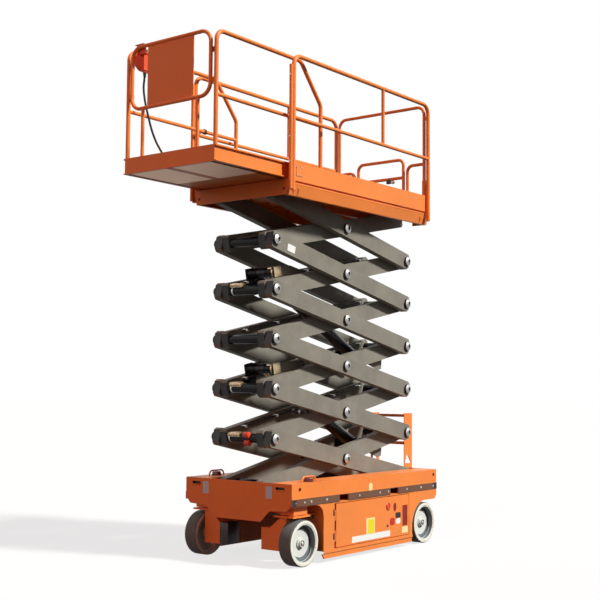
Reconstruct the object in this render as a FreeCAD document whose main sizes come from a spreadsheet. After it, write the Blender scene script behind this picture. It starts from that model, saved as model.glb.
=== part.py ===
import FreeCAD, Part
import Sketcher
import math
import os
import re

# Self-propelled electric scissor lift, shown raised, in millimetres.
# +X is the steered front end, +Y the machine's left side, +Z up, and the floor is z = 0.
# Lengths along X are measured from the middle of the wheelbase; the whole assembly is moved
# by origin_shift at the end, so that the origin is under the middle of the machine.

os.makedirs("parts", exist_ok=True)
doc = FreeCAD.newDocument("scissor_lift")
sheet = doc.addObject("Spreadsheet::Sheet", "Dimensions")

DIMENSIONS = {
    # whole machine
    "origin_shift": 334,
    "seat_gap": 0.3,
    "running_gap": 0.05,
    "side_half": 585,
    # chassis box frame
    "chassis_front": 1110,
    "chassis_rear": -1151,
    "chassis_top": 680,
    "chassis_lip": 490,
    "plate": 6,
    "pit_half": 372,
    "pit_floor": 505,
    "nose_edge": 515,
    "nose_corner_y": 535,
    "nose_corner_z": 459,
    "nose_lip_y": 350,
    "nose_lip_z": 448,
    "skirt_half": 256,
    "skirt_bottom": 357,
    "tail_bottom": 402,
    "rear_arch_radius": 212,
    "front_arch_radius": 92,
    "handhole_inner": 415,
    "handhole_outer": 510,
    "handhole_bottom": 628,
    "handhole_top": 650,
    "strake_top": 555,
    "strake_bottom": 495,
    "strake_proud": 8,
    "fork_front": 387,
    "fork_rear": -404,
    "fork_half": 66,
    "fork_bottom": 498,
    "fork_top": 549,
    "tie_down_front": 1002,
    "tie_down_rear": -1100,
    "tie_down_height": 632,
    "tie_down_radius": 16,
    # side compartments between the wheels
    "bay_front": 674,
    "bay_rear": -715,
    "bay_bottom": 96,
    "bay_floor": 10,
    "bay_inner": 330,
    "door_front": 514,
    "door_rear": -655,
    "door_bottom": 112,
    "door_top": 478,
    "door_thick": 24,
    "door_gap": 6,
    "hinge_radius": 9,
    "hinge_pin": 4,
    "guard_hinge_y": 577,
    "guard_hinge_z": 85,
    "guard_bottom": 35,
    "guard_top": 74,
    "cover_inner": 587.5,
    "cover_outer": 590,
    # wheels, knuckles and axles
    "wheelbase": 1870,
    "tyre_radius": 190.5,
    "tyre_width": 127,
    "tyre_chamfer": 12,
    "rim_radius": 162,
    "rim_wall": 12,
    "disc_depth": 55,
    "disc_thick": 12,
    "hub_radius": 44,
    "spindle_radius": 25,
    "kingpin_y": 470,
    "kingpin_radius": 25,
    "king_block_bottom": 418,
    "knuckle_top": 412,
    "knuckle_plate": 14,
    "motor_inner": 187,
    "motor_outer": 380,
    "motor_bottom": 118,
    "motor_top": 302,
    "motor_half": 75,
    "web_inner": 275,
    "web_slope_y": 400,
    "web_outer": 450,
    "axle_half": 75,
    "steer_arm": 230,
    "steer_pin_radius": 10,
    "tie_rod_height": 377,
    # scissor stack
    "arm_pitch": 2090,
    "rest_angle": 11.55,
    "arm_depth": 150,
    "arm_width": 72,
    "arm_wall": 5,
    "arm_overhang": 42,
    "arm_end_chamfer": 18,
    "outer_inside": 250,
    "inner_inside": 168,
    "fixed_pin_x": 1015,
    "base_pin_z": 615,
    "pin_radius": 22,
    "pin_reach": 158,
    "pin_head_radius": 43,
    "pin_head_proud": 22,
    "boss_radius": 36,
    "tube_radius": 40,
    "tube_bore": 27,
    "roller_radius": 38,
    "roller_width": 34,
    # lift cylinders
    "barrel_foot_s": -560,
    "rod_foot_s": 792,
    "rod_foot_t": 123,
    "stub_radius": 45,
    "barrel_radius": 56,
    "barrel_bore": 46,
    "barrel_length": 1300,
    "gland_length": 16,
    "piston_length": 14,
    "shaft_length": 1290,
    "lift_rod_radius": 30,
    "lift_pin_radius": 24,
    "eye_radius": 42,
    "eye_half": 44,
    "foot_half": 58,
    # platform
    "deck_front": 1110,
    "deck_rear": -1100,
    "deck_half": 538,
    "sill_bottom": 3060,
    "sill_lean": 30,
    "groove_z": 3162,
    "groove_depth": 14,
    "toe_bottom": 3183,
    "toe_top": 3343,
    "sheet_metal": 5,
    "pan_bottom": 3180,
    "rib_gap_inner": 110,
    "rib_gap_outer": 352,
    "floor_z": 3190,
    "rail_top_z": 4236,
    "mid_rail_z": 3706,
    "rail_radius": 19,
    "post_front": 1088,
    "post_rear": -1056,
    "post_foot": 3090,
    "guide_x": 1122,
    "mid_post_x": -256,
    "frame_bracket_high": 4096,
    "frame_bracket_low": 3440,
    "rear_frame_y": 512.5,
    "rear_hoop_z": 3662,
    "gate_half": 272,
    "gate_top_z": 3735,
    "gate_bar_z": 3552,
    "gate_post_gap": 48,
    # extension deck
    "ext_front": 1990,
    "ext_rear": 590,
    "ext_half": 495,
    "ext_bottom": 3198.5,
    "ext_beam_top": 3330,
    "ext_floor": 3226,
    "ext_rail_y": 486,
    "ext_post_front": 1970,
    "ext_bend_x": 905,
    "ext_leg_x": 617,
    "ext_leg_top": 3905,
    "ext_mid_z": 3728,
    "loop_x": 1980,
    "loop_half": 435,
    "front_leg_y": 305,
    "loop_bottom": 3727,
    "loop_top": 4245,
    "panel_half": 255,
    # control box and cable
    "box_front": 1920,
    "box_depth": 125,
    "box_inner": 365,
    "box_outer": 500,
    "box_bottom": 4070,
    "box_slope_y": 425,
    "box_slope_z": 4150,
    "box_top": 4205,
    "hanger_inner": 300,
    "hanger_outer": 400,
    "gland_radius": 14,
    "cable_radius": 9,
    # ladder and lamps
    "ladder_half": 200,
    "ladder_front": -1183,
    "ladder_rear": -1328,
    "ladder_top": 1210,
    "ladder_bottom": 330,
    "lamp_x": 795,
    "lamp_y": 515,
    "lamp_radius": 36,
    "lamp_height": 32,
    "hoop_reach": 95,
    "hoop_height": 42,
}

for row, (alias, value) in enumerate(DIMENSIONS.items(), start=1):
    sheet.set("A%d" % row, alias)
    sheet.set("B%d" % row, str(value))
    sheet.setAlias("B%d" % row, alias)
doc.recompute()

parts = []
words = re.compile(r"\b(" + "|".join(DIMENSIONS) + r")\b")


def bound(text):
    """An expression of sheet aliases, ready for setExpression."""
    return words.sub(r"Dimensions.\1", str(text))


def size(alias):
    return float(sheet.get(alias))


def block(name, x, y, z):
    """A box between two corners, every face bound to the sheet."""
    item = doc.addObject("Part::Box", name)
    for side, base, (low, high) in (("Length", "x", x), ("Width", "y", y), ("Height", "z", z)):
        item.setExpression(side, "(%s) - (%s)" % (bound(high), bound(low)))
        item.setExpression("Placement.Base." + base, bound(low))
    return item


def both_y(low, high):
    """A span in Y and its mirror image on the other side of the machine."""
    return ((low, high), ("-(%s)" % high, "-(%s)" % low))


# side, sign of Y, place of the side in a pair from both_y
SIDES = (("left", 1, 0), ("right", -1, 1))

TURNS = {
    "x": FreeCAD.Rotation(FreeCAD.Vector(0, 1, 0), 90),
    "y": FreeCAD.Rotation(FreeCAD.Vector(1, 0, 0), -90),
    "z": FreeCAD.Rotation(),
}


def drum(name, axis, radius, x, y, z, length):
    """A cylinder that starts at (x, y, z) and runs along +axis."""
    item = doc.addObject("Part::Cylinder", name)
    item.Placement.Rotation = TURNS[axis]
    item.setExpression("Radius", bound(radius))
    item.setExpression("Height", bound(length))
    for base, value in (("x", x), ("y", y), ("z", z)):
        item.setExpression("Placement.Base." + base, bound(value))
    return item


def cross_drum(name, radius, x, z, span):
    """A cylinder along Y between the two ends of a span."""
    low, high = span
    return drum(name, "y", radius, x, low, z, "(%s) - (%s)" % (high, low))


def plate_of(name, axis, outline, low, high):
    """A flat plate with a straight-sided outline, from low to high along axis."""
    places = {
        "x": lambda first, second: FreeCAD.Vector(low, first, second),
        "y": lambda first, second: FreeCAD.Vector(first, low, second),
    }
    points = [places[axis](first, second) for first, second in outline]
    wire = doc.addObject("Part::Feature", name + "_outline")
    wire.Shape = Part.Face(Part.makePolygon(points + points[:1]))
    item = doc.addObject("Part::Extrusion", name)
    item.Base = wire
    item.DirMode = "Custom"
    item.Dir = {"x": FreeCAD.Vector(1, 0, 0), "y": FreeCAD.Vector(0, 1, 0)}[axis]
    item.LengthFwd = high - low
    item.Solid = True
    return item


def fuse(name, items):
    item = doc.addObject("Part::MultiFuse", name)
    item.Shapes = items
    item.Refine = True
    return item


def group(name, items):
    """Solids of one node that don't touch each other."""
    item = doc.addObject("Part::Compound", name)
    item.Links = items
    return item


def cut(name, base, tools):
    item = doc.addObject("Part::Cut", name)
    item.Base = base
    item.Tool = tools[0] if len(tools) == 1 else fuse(name + "_tools", tools)
    item.Refine = True
    return item


def rounded_path(corners, bends):
    """Straight edges between corners, joined by tangent arcs of the given radii."""
    edges = []
    here = corners[0]
    for before, corner, after, bend in zip(corners, corners[1:], corners[2:], bends):
        inward = (before - corner).normalize()
        outward = (after - corner).normalize()
        half_turn = (math.pi - inward.getAngle(outward)) / 2
        setback = bend * math.tan(half_turn)
        leave = corner + inward * setback
        arrive = corner + outward * setback
        middle_way = (inward + outward).normalize()
        middle = corner + middle_way * (bend / math.cos(half_turn) - bend)
        if (leave - here).Length > 1e-6:
            edges.append(Part.makeLine(here, leave))
        edges.append(Part.Arc(leave, middle, arrive).toShape())
        here = arrive
    if (corners[-1] - here).Length > 1e-6:
        edges.append(Part.makeLine(here, corners[-1]))
    return Part.Wire(edges)


def tube_along(name, path, radius):
    """A round bar swept along a path; the feature holds the finished solid."""
    start = path.Edges[0]
    section = Part.Wire(Part.makeCircle(radius, start.valueAt(start.FirstParameter),
                                        start.tangentAt(start.FirstParameter)))
    item = doc.addObject("Part::Feature", name)
    item.Shape = path.makePipeShell([section], True, False)
    return item


def bent_tube(name, points, radius, bend):
    """A round tube along straight runs, its corners bent to one radius."""
    corners = [FreeCAD.Vector(*point) for point in points]
    return tube_along(name, rounded_path(corners, [bend] * (len(corners) - 2)), radius)


def turned_body(name, outline):
    """A body of revolution: a closed outline of (along, radius) points turned about the axle."""
    body = doc.addObject("PartDesign::Body", name)
    sketch = body.newObject("Sketcher::SketchObject", name + "_outline")
    plane = next(item for item in body.Origin.OriginFeatures if item.Role == "XY_Plane")
    sketch.AttachmentSupport = [(plane, "")]
    sketch.MapMode = "FlatFace"
    rough = [FreeCAD.Vector(index, 1 + index % 2, 0) for index in range(len(outline))]
    for start, end in zip(rough, rough[1:] + rough[:1]):
        sketch.addGeometry(Part.LineSegment(start, end), False)
    for index in range(len(outline)):
        sketch.addConstraint(Sketcher.Constraint("Coincident", index, 2, (index + 1) % len(outline), 1))
    for index, (along, radius) in enumerate(outline):
        for kind, text in (("DistanceX", along), ("DistanceY", radius)):
            number = sketch.addConstraint(Sketcher.Constraint(kind, -1, 1, index, 1, 10.0))
            sketch.setExpression("Constraints[%d]" % number, bound(text))
    turn = body.newObject("PartDesign::Revolution", name + "_turned")
    turn.Profile = sketch
    turn.ReferenceAxis = (sketch, ["H_Axis"])
    turn.Angle = 360
    sketch.Visibility = False
    return body


def finish(item, label, placement=None):
    """Name a finished sub-part and put it in the list to be written."""
    if placement is not None:
        item.Placement = placement
    item.Label = label
    parts.append(item)
    return item


def turned_y(angle, x, z):
    return FreeCAD.Placement(FreeCAD.Vector(x, 0, z),
                             FreeCAD.Rotation(FreeCAD.Vector(0, 1, 0), angle))


rest_angle = math.radians(size("rest_angle"))
half_pitch = size("arm_pitch") / 2
level_rise = size("arm_pitch") * math.sin(rest_angle)
centre_x = size("fixed_pin_x") - half_pitch * math.cos(rest_angle)
top_pin_z = size("base_pin_z") + 6 * level_rise


# Chassis: a shallow box frame with a pit down its middle for the folded stack. Its side skins
# reach lower behind the rear wheels and curve into the side compartments round the wheels.
def chassis_side(side, sign, place):
    """One side of the frame: skin, pit wall, top, wheel arch roof and the low skin pieces."""
    along = ("chassis_rear", "chassis_front")
    depth = both_y("pit_half", "side_half")[place]
    # name, y span, z span
    walls = (
        ("skin", both_y("side_half - plate", "side_half")[place], ("chassis_lip", "chassis_top")),
        ("pit_wall", both_y("pit_half", "pit_half + plate")[place], ("chassis_lip", "chassis_top")),
        ("top", depth, ("chassis_top - plate", "chassis_top")),
        ("roof", depth, ("chassis_lip", "chassis_lip + plate")),
    )
    solids = [block("%s_%s" % (side, name), along, y, z) for name, y, z in walls]
    low, high = sorted((sign * size("side_half"), sign * (size("side_half") - size("plate"))))
    lip = size("chassis_lip") + 1
    rear = size("chassis_rear")
    bay_rear = size("bay_rear") - size("seat_gap")
    bay_front = size("bay_front") + size("seat_gap")
    tail = size("tail_bottom")
    arch_x = -size("wheelbase") / 2
    gusset_x = bay_front + size("front_arch_radius") + 3
    gusset_z = size("chassis_lip") - size("front_arch_radius") - 3
    rear_outline = [(rear, lip), (rear, tail + 38), (rear + 31, tail), (arch_x, tail),
                    (arch_x, size("tyre_radius") + 24), (bay_rear, size("tyre_radius") + 24), (bay_rear, lip)]
    front_outline = [(bay_front, lip), (bay_front, gusset_z), (gusset_x, gusset_z), (gusset_x, lip)]
    rear_arch = cross_drum(side + "_rear_arch", "rear_arch_radius", "-wheelbase / 2",
                           "tyre_radius", both_y("side_half - plate - 1", "side_half + 1")[place])
    front_arch = cross_drum(side + "_front_arch", "front_arch_radius", "bay_front + front_arch_radius + 3.3",
                            "chassis_lip - front_arch_radius - 3",
                            both_y("side_half - plate - 1", "side_half + 1")[place])
    solids.append(cut(side + "_rear_skirt", plate_of(side + "_rear_blank", "y", rear_outline, low, high),
                      [rear_arch]))
    solids.append(cut(side + "_front_gusset", plate_of(side + "_front_blank", "y", front_outline, low, high),
                      [front_arch]))
    return solids


def chassis_frame():
    solids = []
    tools = []
    for side, sign, place in SIDES:
        solids += chassis_side(side, sign, place)
        mouth = both_y("side_half - plate - 1", "side_half + 1")[place]
        for fork in ("fork_front", "fork_rear"):
            tools.append(block("%s_%s_mouth" % (side, fork), (fork + " - fork_half", fork + " + fork_half"),
                               mouth, ("fork_bottom", "fork_top")))
        for hole in ("tie_down_front", "tie_down_rear"):
            tools.append(cross_drum("%s_%s_hole" % (side, hole), "tie_down_radius", hole, "tie_down_height",
                                    mouth))
        tools.append(drum(side + "_kingpin_hole", "z", "kingpin_radius + 3", "wheelbase / 2",
                          "%d * kingpin_y" % sign, "chassis_lip - 1", "plate + 2"))
        tools.append(block(side + "_handhole", ("chassis_front - plate - 1", "chassis_front + 1"),
                           both_y("handhole_inner", "handhole_outer")[place],
                           ("handhole_bottom", "handhole_top")))
    solids.append(block("pit_pan", ("chassis_rear", "chassis_front"),
                        ("-pit_half - plate", "pit_half + plate"), ("pit_floor", "pit_floor + plate")))
    # one half of the front plate's outline, from the top corner inwards
    half_nose = [(size("side_half"), size("chassis_top")), (size("side_half"), size("nose_edge")),
                 (size("nose_corner_y"), size("nose_corner_z")), (size("nose_lip_y"), size("nose_lip_z")),
                 (size("skirt_half"), size("skirt_bottom"))]
    nose = half_nose + [(-y, z) for y, z in reversed(half_nose)]
    solids.append(plate_of("front_plate", "x", nose, size("chassis_front") - size("plate"),
                           size("chassis_front")))
    solids.append(block("rear_plate", ("chassis_rear", "chassis_rear + plate"), ("-side_half", "side_half"),
                        ("tail_bottom + 38", "chassis_top")))
    finish(cut("chassis_cut", fuse("chassis_shell", solids), tools), "chassis_frame")


# Side compartments: a box between the wheels on each side, hung under the frame. Its face is a
# ring round the door, with the door's hinge lugs and pins, and the guard's lugs under its floor.
GUARD_LUGS = (-600, -20, 560)
DOOR_HINGES = ("door_bottom + 66", "door_top - 126")


def side_bays():
    bays = []
    for side, sign, place in SIDES:
        face = both_y("side_half - door_thick", "side_half")[place]
        deep = both_y("bay_inner", "side_half")[place]
        tall = ("bay_bottom", "chassis_lip - seat_gap")
        along = ("bay_rear", "bay_front")
        # name, x span, y span, z span
        walls = (
            ("front_post", ("door_front + door_gap", "bay_front"), face, tall),
            ("rear_post", ("bay_rear", "door_rear - door_gap"), face, tall),
            ("head", along, face, ("door_top + door_gap", "chassis_lip - seat_gap")),
            ("front_wall", ("bay_front - plate", "bay_front"), deep, tall),
            ("rear_wall", ("bay_rear", "bay_rear + plate"), deep, tall),
            ("floor", along, deep, ("bay_bottom", "bay_bottom + bay_floor")),
            ("back_wall", along, both_y("bay_inner", "bay_inner + plate")[place], tall),
        )
        solids = [block("%s_bay_%s" % (side, name), x, y, z) for name, x, y, z in walls]
        solids.append(block(side + "_cover_flange", along, both_y("side_half - 2", "cover_outer")[place],
                            ("bay_bottom + 2", "bay_bottom + 10")))
        solids.append(block(side + "_cover_strip", along, both_y("cover_inner", "cover_outer")[place],
                            ("guard_top + 4", "bay_bottom + 10")))
        lug = both_y("side_half - hinge_radius - 6", "side_half - 3")[place]
        for number, height in enumerate(DOOR_HINGES):
            for end, (low, high) in enumerate((("-15", "-1"), ("61", "75"))):
                solids.append(block("%s_door_lug_%d_%d" % (side, number, end),
                                    ("door_front - hinge_radius - 5", "door_front + door_gap + 1"), lug,
                                    ("%s + (%s)" % (height, low), "%s + (%s)" % (height, high))))
            solids.append(drum("%s_door_pin_%d" % (side, number), "z", "hinge_pin",
                               "door_front - hinge_radius", "%d * (side_half - hinge_radius)" % sign,
                               height + " - 10", 80))
        bores = []
        for number, spot in enumerate(GUARD_LUGS):
            solids.append(block("%s_guard_lug_%d" % (side, number), (spot - 20, spot + 20),
                                both_y("guard_hinge_y - 7", "guard_hinge_y + 7")[place],
                                ("guard_hinge_z - 7", "bay_bottom + 1")))
            bores.append(drum("%s_guard_bore_%d" % (side, number), "x", "hinge_pin + running_gap", spot - 21,
                              "%d * guard_hinge_y" % sign, "guard_hinge_z", 42))
        bays.append(cut(side + "_bay", fuse(side + "_bay_solid", solids), bores))
    finish(group("bay_solids", bays), "side_bays")


# Rub strakes: a dark folded strip along each side, open at the two fork pockets.
def rub_strakes():
    spans = (("chassis_rear + 6", "fork_rear - fork_half"),
             ("fork_rear + fork_half", "fork_front - fork_half"),
             ("fork_front + fork_half", "chassis_front - 6"))
    solids = []
    for side, sign, place in SIDES:
        face = both_y("side_half + seat_gap", "side_half + strake_proud")[place]
        for number, span in enumerate(spans):
            solids.append(block("%s_strake_%d" % (side, number), span, face, ("strake_bottom", "strake_top")))
    finish(group("strakes", solids), "rub_strakes")


# Battery pack on the left, pump and charger on the right: plain blocks, closed in behind the doors.
def power_blocks():
    solids = []
    for side, sign, place in SIDES:
        solids.append(block(side + "_power", ("door_rear + 40", "door_front - 40"),
                            both_y("bay_inner + plate + 14", "side_half - door_thick - 30")[place],
                            ("bay_bottom + bay_floor + seat_gap", "bay_bottom + bay_floor + 280")))
    finish(group("power", solids), "power_blocks")


def door(side, sign, place):
    """A side compartment door with two bored hinge barrels along its front edge."""
    pieces = [block(side + "_panel", ("door_rear", "door_front - 2 * hinge_radius"),
                    both_y("side_half - door_thick", "side_half")[place], ("door_bottom", "door_top"))]
    bores = []
    hinge_y = "%d * (side_half - hinge_radius)" % sign
    for number, height in enumerate(DOOR_HINGES):
        pieces.append(drum("%s_door_barrel_%d" % (side, number), "z", "hinge_radius - 1",
                           "door_front - hinge_radius", hinge_y, height, 60))
        pieces.append(block("%s_door_leaf_%d" % (side, number),
                            ("door_front - 3 * hinge_radius", "door_front - hinge_radius"),
                            both_y("side_half - hinge_radius - 3", "side_half - hinge_radius + 3")[place],
                            (height, height + " + 60")))
        bores.append(drum("%s_door_bore_%d" % (side, number), "z", "hinge_pin + running_gap",
                          "door_front - hinge_radius", hinge_y, height + " - 2", 64))
    finish(cut(side + "_door_body", fuse(side + "_door_solid", pieces), bores), side + "_door")


# Pothole guards: a bar under each compartment, down while the platform is up.
def pothole_guard(side, sign, place):
    low, high = sorted((sign * (size("guard_hinge_y") - 6), sign * (size("guard_hinge_y") + 6)))
    rear = size("bay_rear") + 3
    outline = [(rear, size("guard_bottom")), (size("bay_front") - 14, size("guard_bottom")),
               (size("bay_front") + 14, size("guard_top")), (rear, size("guard_top"))]
    pieces = [plate_of(side + "_guard_bar", "y", outline, low, high)]
    for number, spot in enumerate(GUARD_LUGS):
        for end, (start, stop) in enumerate(((-34, -20.5), (20.5, 34))):
            pieces.append(block("%s_guard_ear_%d_%d" % (side, number, end), (spot + start, spot + stop),
                                both_y("guard_hinge_y - 5", "guard_hinge_y + 5")[place],
                                ("guard_top - 6", "guard_hinge_z + 5")))
        pieces.append(drum("%s_guard_pin_%d" % (side, number), "x", "hinge_pin", spot - 30,
                           "%d * guard_hinge_y" % sign, "guard_hinge_z", 60))
    finish(fuse(side + "_guard_body", pieces), side + "_pothole_guard")


# Front axle: a beam under the pan with a bored block for each kingpin.
def front_axle():
    axle = ("wheelbase / 2 - axle_half", "wheelbase / 2 + axle_half")
    solids = [
        block("front_beam", axle, ("-kingpin_y - 70", "kingpin_y + 70"),
              ("king_block_bottom + 6", "chassis_lip - seat_gap")),
        block("front_beam_pad", axle, ("-pit_half + seat_gap", "pit_half - seat_gap"),
              ("chassis_lip - 1", "pit_floor - seat_gap")),
    ]
    bores = []
    for side, sign, place in SIDES:
        solids.append(block(side + "_king_block", ("wheelbase / 2 - 90", "wheelbase / 2 + 90"),
                            both_y("kingpin_y - 70", "kingpin_y + 70")[place],
                            ("king_block_bottom", "chassis_lip - seat_gap")))
        bores.append(drum(side + "_king_bore", "z", "kingpin_radius + running_gap", "wheelbase / 2",
                          "%d * kingpin_y" % sign, "king_block_bottom - 1", 90))
    finish(cut("front_axle_body", fuse("front_axle_solid", solids), bores), "front_axle")


# Rear axle: a beam with two hanger plates, a brake drum and a spindle at each end.
def rear_axle():
    axle = ("-wheelbase / 2 - axle_half", "-wheelbase / 2 + axle_half")
    inner = "motor_outer - 50"
    outer = "side_half - tyre_width - 9"
    solids = [block("rear_beam", axle, ("-(%s)" % outer, outer),
                    ("king_block_bottom + 6", "chassis_lip - seat_gap"))]
    for side, sign, place in SIDES:
        for number, (low, high) in enumerate(((inner, inner + " + 12"), (outer + " - 12", outer))):
            solids.append(block("%s_hanger_%d" % (side, number), axle, both_y(low, high)[place],
                                ("motor_bottom + 12", "king_block_bottom + 7")))
        solids.append(cross_drum(side + "_brake", 60, "-wheelbase / 2", "tyre_radius",
                                 both_y(inner, outer)[place]))
        solids.append(cross_drum(side + "_rear_spindle", "spindle_radius", "-wheelbase / 2", "tyre_radius",
                                 both_y(outer + " - 1", "side_half - 33")[place]))
    finish(fuse("rear_axle_body", solids), "rear_axle")


def knuckle(side, sign, place):
    """A steered drive unit: kingpin and head plate, a sloped bracket, the motor box and the spindle."""
    x = size("wheelbase") / 2
    under_head = size("knuckle_top") - size("knuckle_plate") + 1
    web = [(size("web_inner"), size("motor_bottom")), (size("web_outer"), size("motor_bottom")),
           (size("web_outer"), under_head), (size("web_slope_y"), under_head),
           (size("web_inner"), size("motor_top"))]
    half = size("motor_half")
    king_y = "%d * kingpin_y" % sign
    head = ("knuckle_top - knuckle_plate", "knuckle_top")
    solids = [
        block(side + "_motor_box", ("wheelbase / 2 - motor_half", "wheelbase / 2 + motor_half"),
              both_y("motor_inner", "motor_outer")[place], ("motor_bottom", "motor_top")),
        plate_of(side + "_web", "x", [(sign * y, z) for y, z in web], x - half, x + half),
        block(side + "_head", ("wheelbase / 2 - 115", "wheelbase / 2 + 115"),
              both_y("nose_lip_y - 1", "side_half - 31")[place], head),
        drum(side + "_kingpin", "z", "kingpin_radius", "wheelbase / 2", king_y,
             "knuckle_top - 1", "chassis_lip + plate + 5 - knuckle_top"),
        cross_drum(side + "_hub", 66, "wheelbase / 2", "tyre_radius",
                   both_y("motor_outer - 1", "side_half - tyre_width - 8")[place]),
        cross_drum(side + "_front_spindle", "spindle_radius", "wheelbase / 2", "tyre_radius",
                   both_y("side_half - tyre_width - 9", "side_half - 33")[place]),
        block(side + "_steer_arm", ("wheelbase / 2 - steer_arm - 20", "wheelbase / 2 - 114"),
              both_y("kingpin_y - 30", "kingpin_y + 30")[place], head),
        drum(side + "_steer_pin", "z", "steer_pin_radius", "wheelbase / 2 - steer_arm", king_y,
             "tie_rod_height - 14", "knuckle_top - tie_rod_height"),
    ]
    finish(fuse(side + "_knuckle_body", solids), side + "_knuckle")


# Tie rod: keeps the two knuckles parallel, with an eye on each steering arm's pin.
def tie_rod():
    solids = [drum("tie_bar", "y", 10, "wheelbase / 2 - steer_arm", "-(kingpin_y - 16)", "tie_rod_height",
                   "2 * (kingpin_y - 16)")]
    bores = []
    for side, sign, place in SIDES:
        king_y = "%d * kingpin_y" % sign
        solids.append(drum(side + "_rod_eye", "z", 21, "wheelbase / 2 - steer_arm", king_y,
                           "tie_rod_height - 11", 22))
        bores.append(drum(side + "_rod_eye_bore", "z", "steer_pin_radius + running_gap",
                          "wheelbase / 2 - steer_arm", king_y, "tie_rod_height - 15", 30))
    finish(cut("tie_rod_body", fuse("tie_rod_solid", solids), bores), "tie_rod")


# Wheels: a solid non-marking tyre on a dished steel rim with a hub boss, both turned about the axle.
def wheel(corner, x_sign, y_sign):
    inner = "side_half - tyre_width"
    bore = "rim_radius + seat_gap"
    tyre = (
        (inner + " + tyre_chamfer", "tyre_radius"),
        ("side_half - tyre_chamfer", "tyre_radius"),
        ("side_half", "tyre_radius - tyre_chamfer"),
        ("side_half", bore),
        (inner, bore),
        (inner, "tyre_radius - tyre_chamfer"),
    )
    disc = "side_half - disc_depth"
    back = disc + " - disc_thick"
    ring = "rim_radius - rim_wall"
    axle = "spindle_radius + running_gap"
    rim = (
        (inner + " + 4", "rim_radius"),
        ("side_half - 4", "rim_radius"),
        ("side_half - 4", ring),
        (disc, ring),
        (disc, "hub_radius"),
        (disc + " + 15", "hub_radius"),
        (disc + " + 15", axle),
        (inner + " + 2", axle),
        (inner + " + 2", "hub_radius"),
        (back, "hub_radius"),
        (back, ring),
        (inner + " + 4", ring),
    )
    turn = FreeCAD.Rotation(FreeCAD.Vector(0, 0, 1), 90 * y_sign)
    for kind, outline in (("tyre", tyre), ("rim", rim)):
        centre = FreeCAD.Vector(x_sign * size("wheelbase") / 2, 0, size("tyre_radius"))
        finish(turned_body("%s_%s" % (corner, kind), outline), "%s_%s" % (corner, kind),
               FreeCAD.Placement(centre, turn))


# Scissor anchors on the pit floor: double ears at the front carry the lowest inner arms'
# fixed pins, and a channel on each pit wall carries the lowest outer arms' rollers.
def scissor_mounts():
    solids = []
    ears = (("inner_inside - 25", "inner_inside - 5"),
            ("inner_inside + arm_width + 3", "outer_inside + 13"))
    low_edge = "base_pin_z - roller_radius"
    high_edge = "base_pin_z + roller_radius"
    for side, sign, place in SIDES:
        pieces = [block("%s_ear_%d" % (side, number), ("fixed_pin_x - 45", "fixed_pin_x + 45"),
                        both_y(low, high)[place], ("pit_floor + plate + seat_gap", "base_pin_z + 42"))
                  for number, (low, high) in enumerate(ears)]
        pieces.append(cross_drum(side + "_anchor_pin", "pin_radius", "fixed_pin_x", "base_pin_z",
                                 both_y("inner_inside - 25", "outer_inside + 13")[place]))
        solids.append(fuse(side + "_anchor", pieces))
        along = ("chassis_rear + plate + 8", "-60")
        flange = both_y("outer_inside + arm_width + 8", "pit_half - 1")[place]
        solids.append(fuse(side + "_track", [
            block(side + "_track_web", along, both_y("pit_half - 6", "pit_half - seat_gap")[place],
                  (low_edge + " - 9", high_edge + " + 9")),
            block(side + "_track_low", along, flange, (low_edge + " - 9", low_edge + " - 1")),
            block(side + "_track_high", along, flange, (high_edge + " + 1", high_edge + " + 9")),
        ]))
    finish(group("scissor_mount_solids", solids), "scissor_mounts")


# Scissor arms: box tubes, solid round their pins, with closed, slightly chamfered ends. The ends
# under the platform are tapered along their top, so that they clear the floor pan when the stack
# is folded. The outlines of both kinds of end run from top to bottom, relative to the end's pin.
TAPERED_END = ((-345, 75), (-20, 42), (25, 38), (42, 20), (42, -63), (30, -75))


def arm_tube(name, inside, sign, tapered):
    """One arm along X about its centre pin; tapered is the sign of its tapered end, or 0."""
    reach = size("arm_overhang")
    half = size("arm_depth") / 2
    corner = size("arm_end_chamfer")
    square_end = ((reach - corner, half), (reach, half - corner), (reach, -half + corner),
                  (reach - corner, -half))
    outline = []
    for end in (1, -1):
        shape = TAPERED_END if end == tapered else square_end
        points = [(end * (half_pitch + along), up) for along, up in shape]
        outline += points if end > 0 else points[::-1]
    wall = size("arm_wall")
    low, high = sorted((sign * inside, sign * (inside + size("arm_width"))))
    blank = plate_of(name + "_blank", "y", outline, low, high)
    solid = size("boss_radius")
    hollows = []
    for number, end in enumerate((-1, 1)):
        stop = half_pitch + TAPERED_END[0][0] - 5 if end == tapered else half_pitch - solid
        hollows.append(block("%s_hollow_%d" % (name, number), sorted((end * solid, end * stop)),
                             (low + wall, high - wall), (-half + wall, half - wall)))
    return cut(name + "_tube", blank, hollows)


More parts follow.
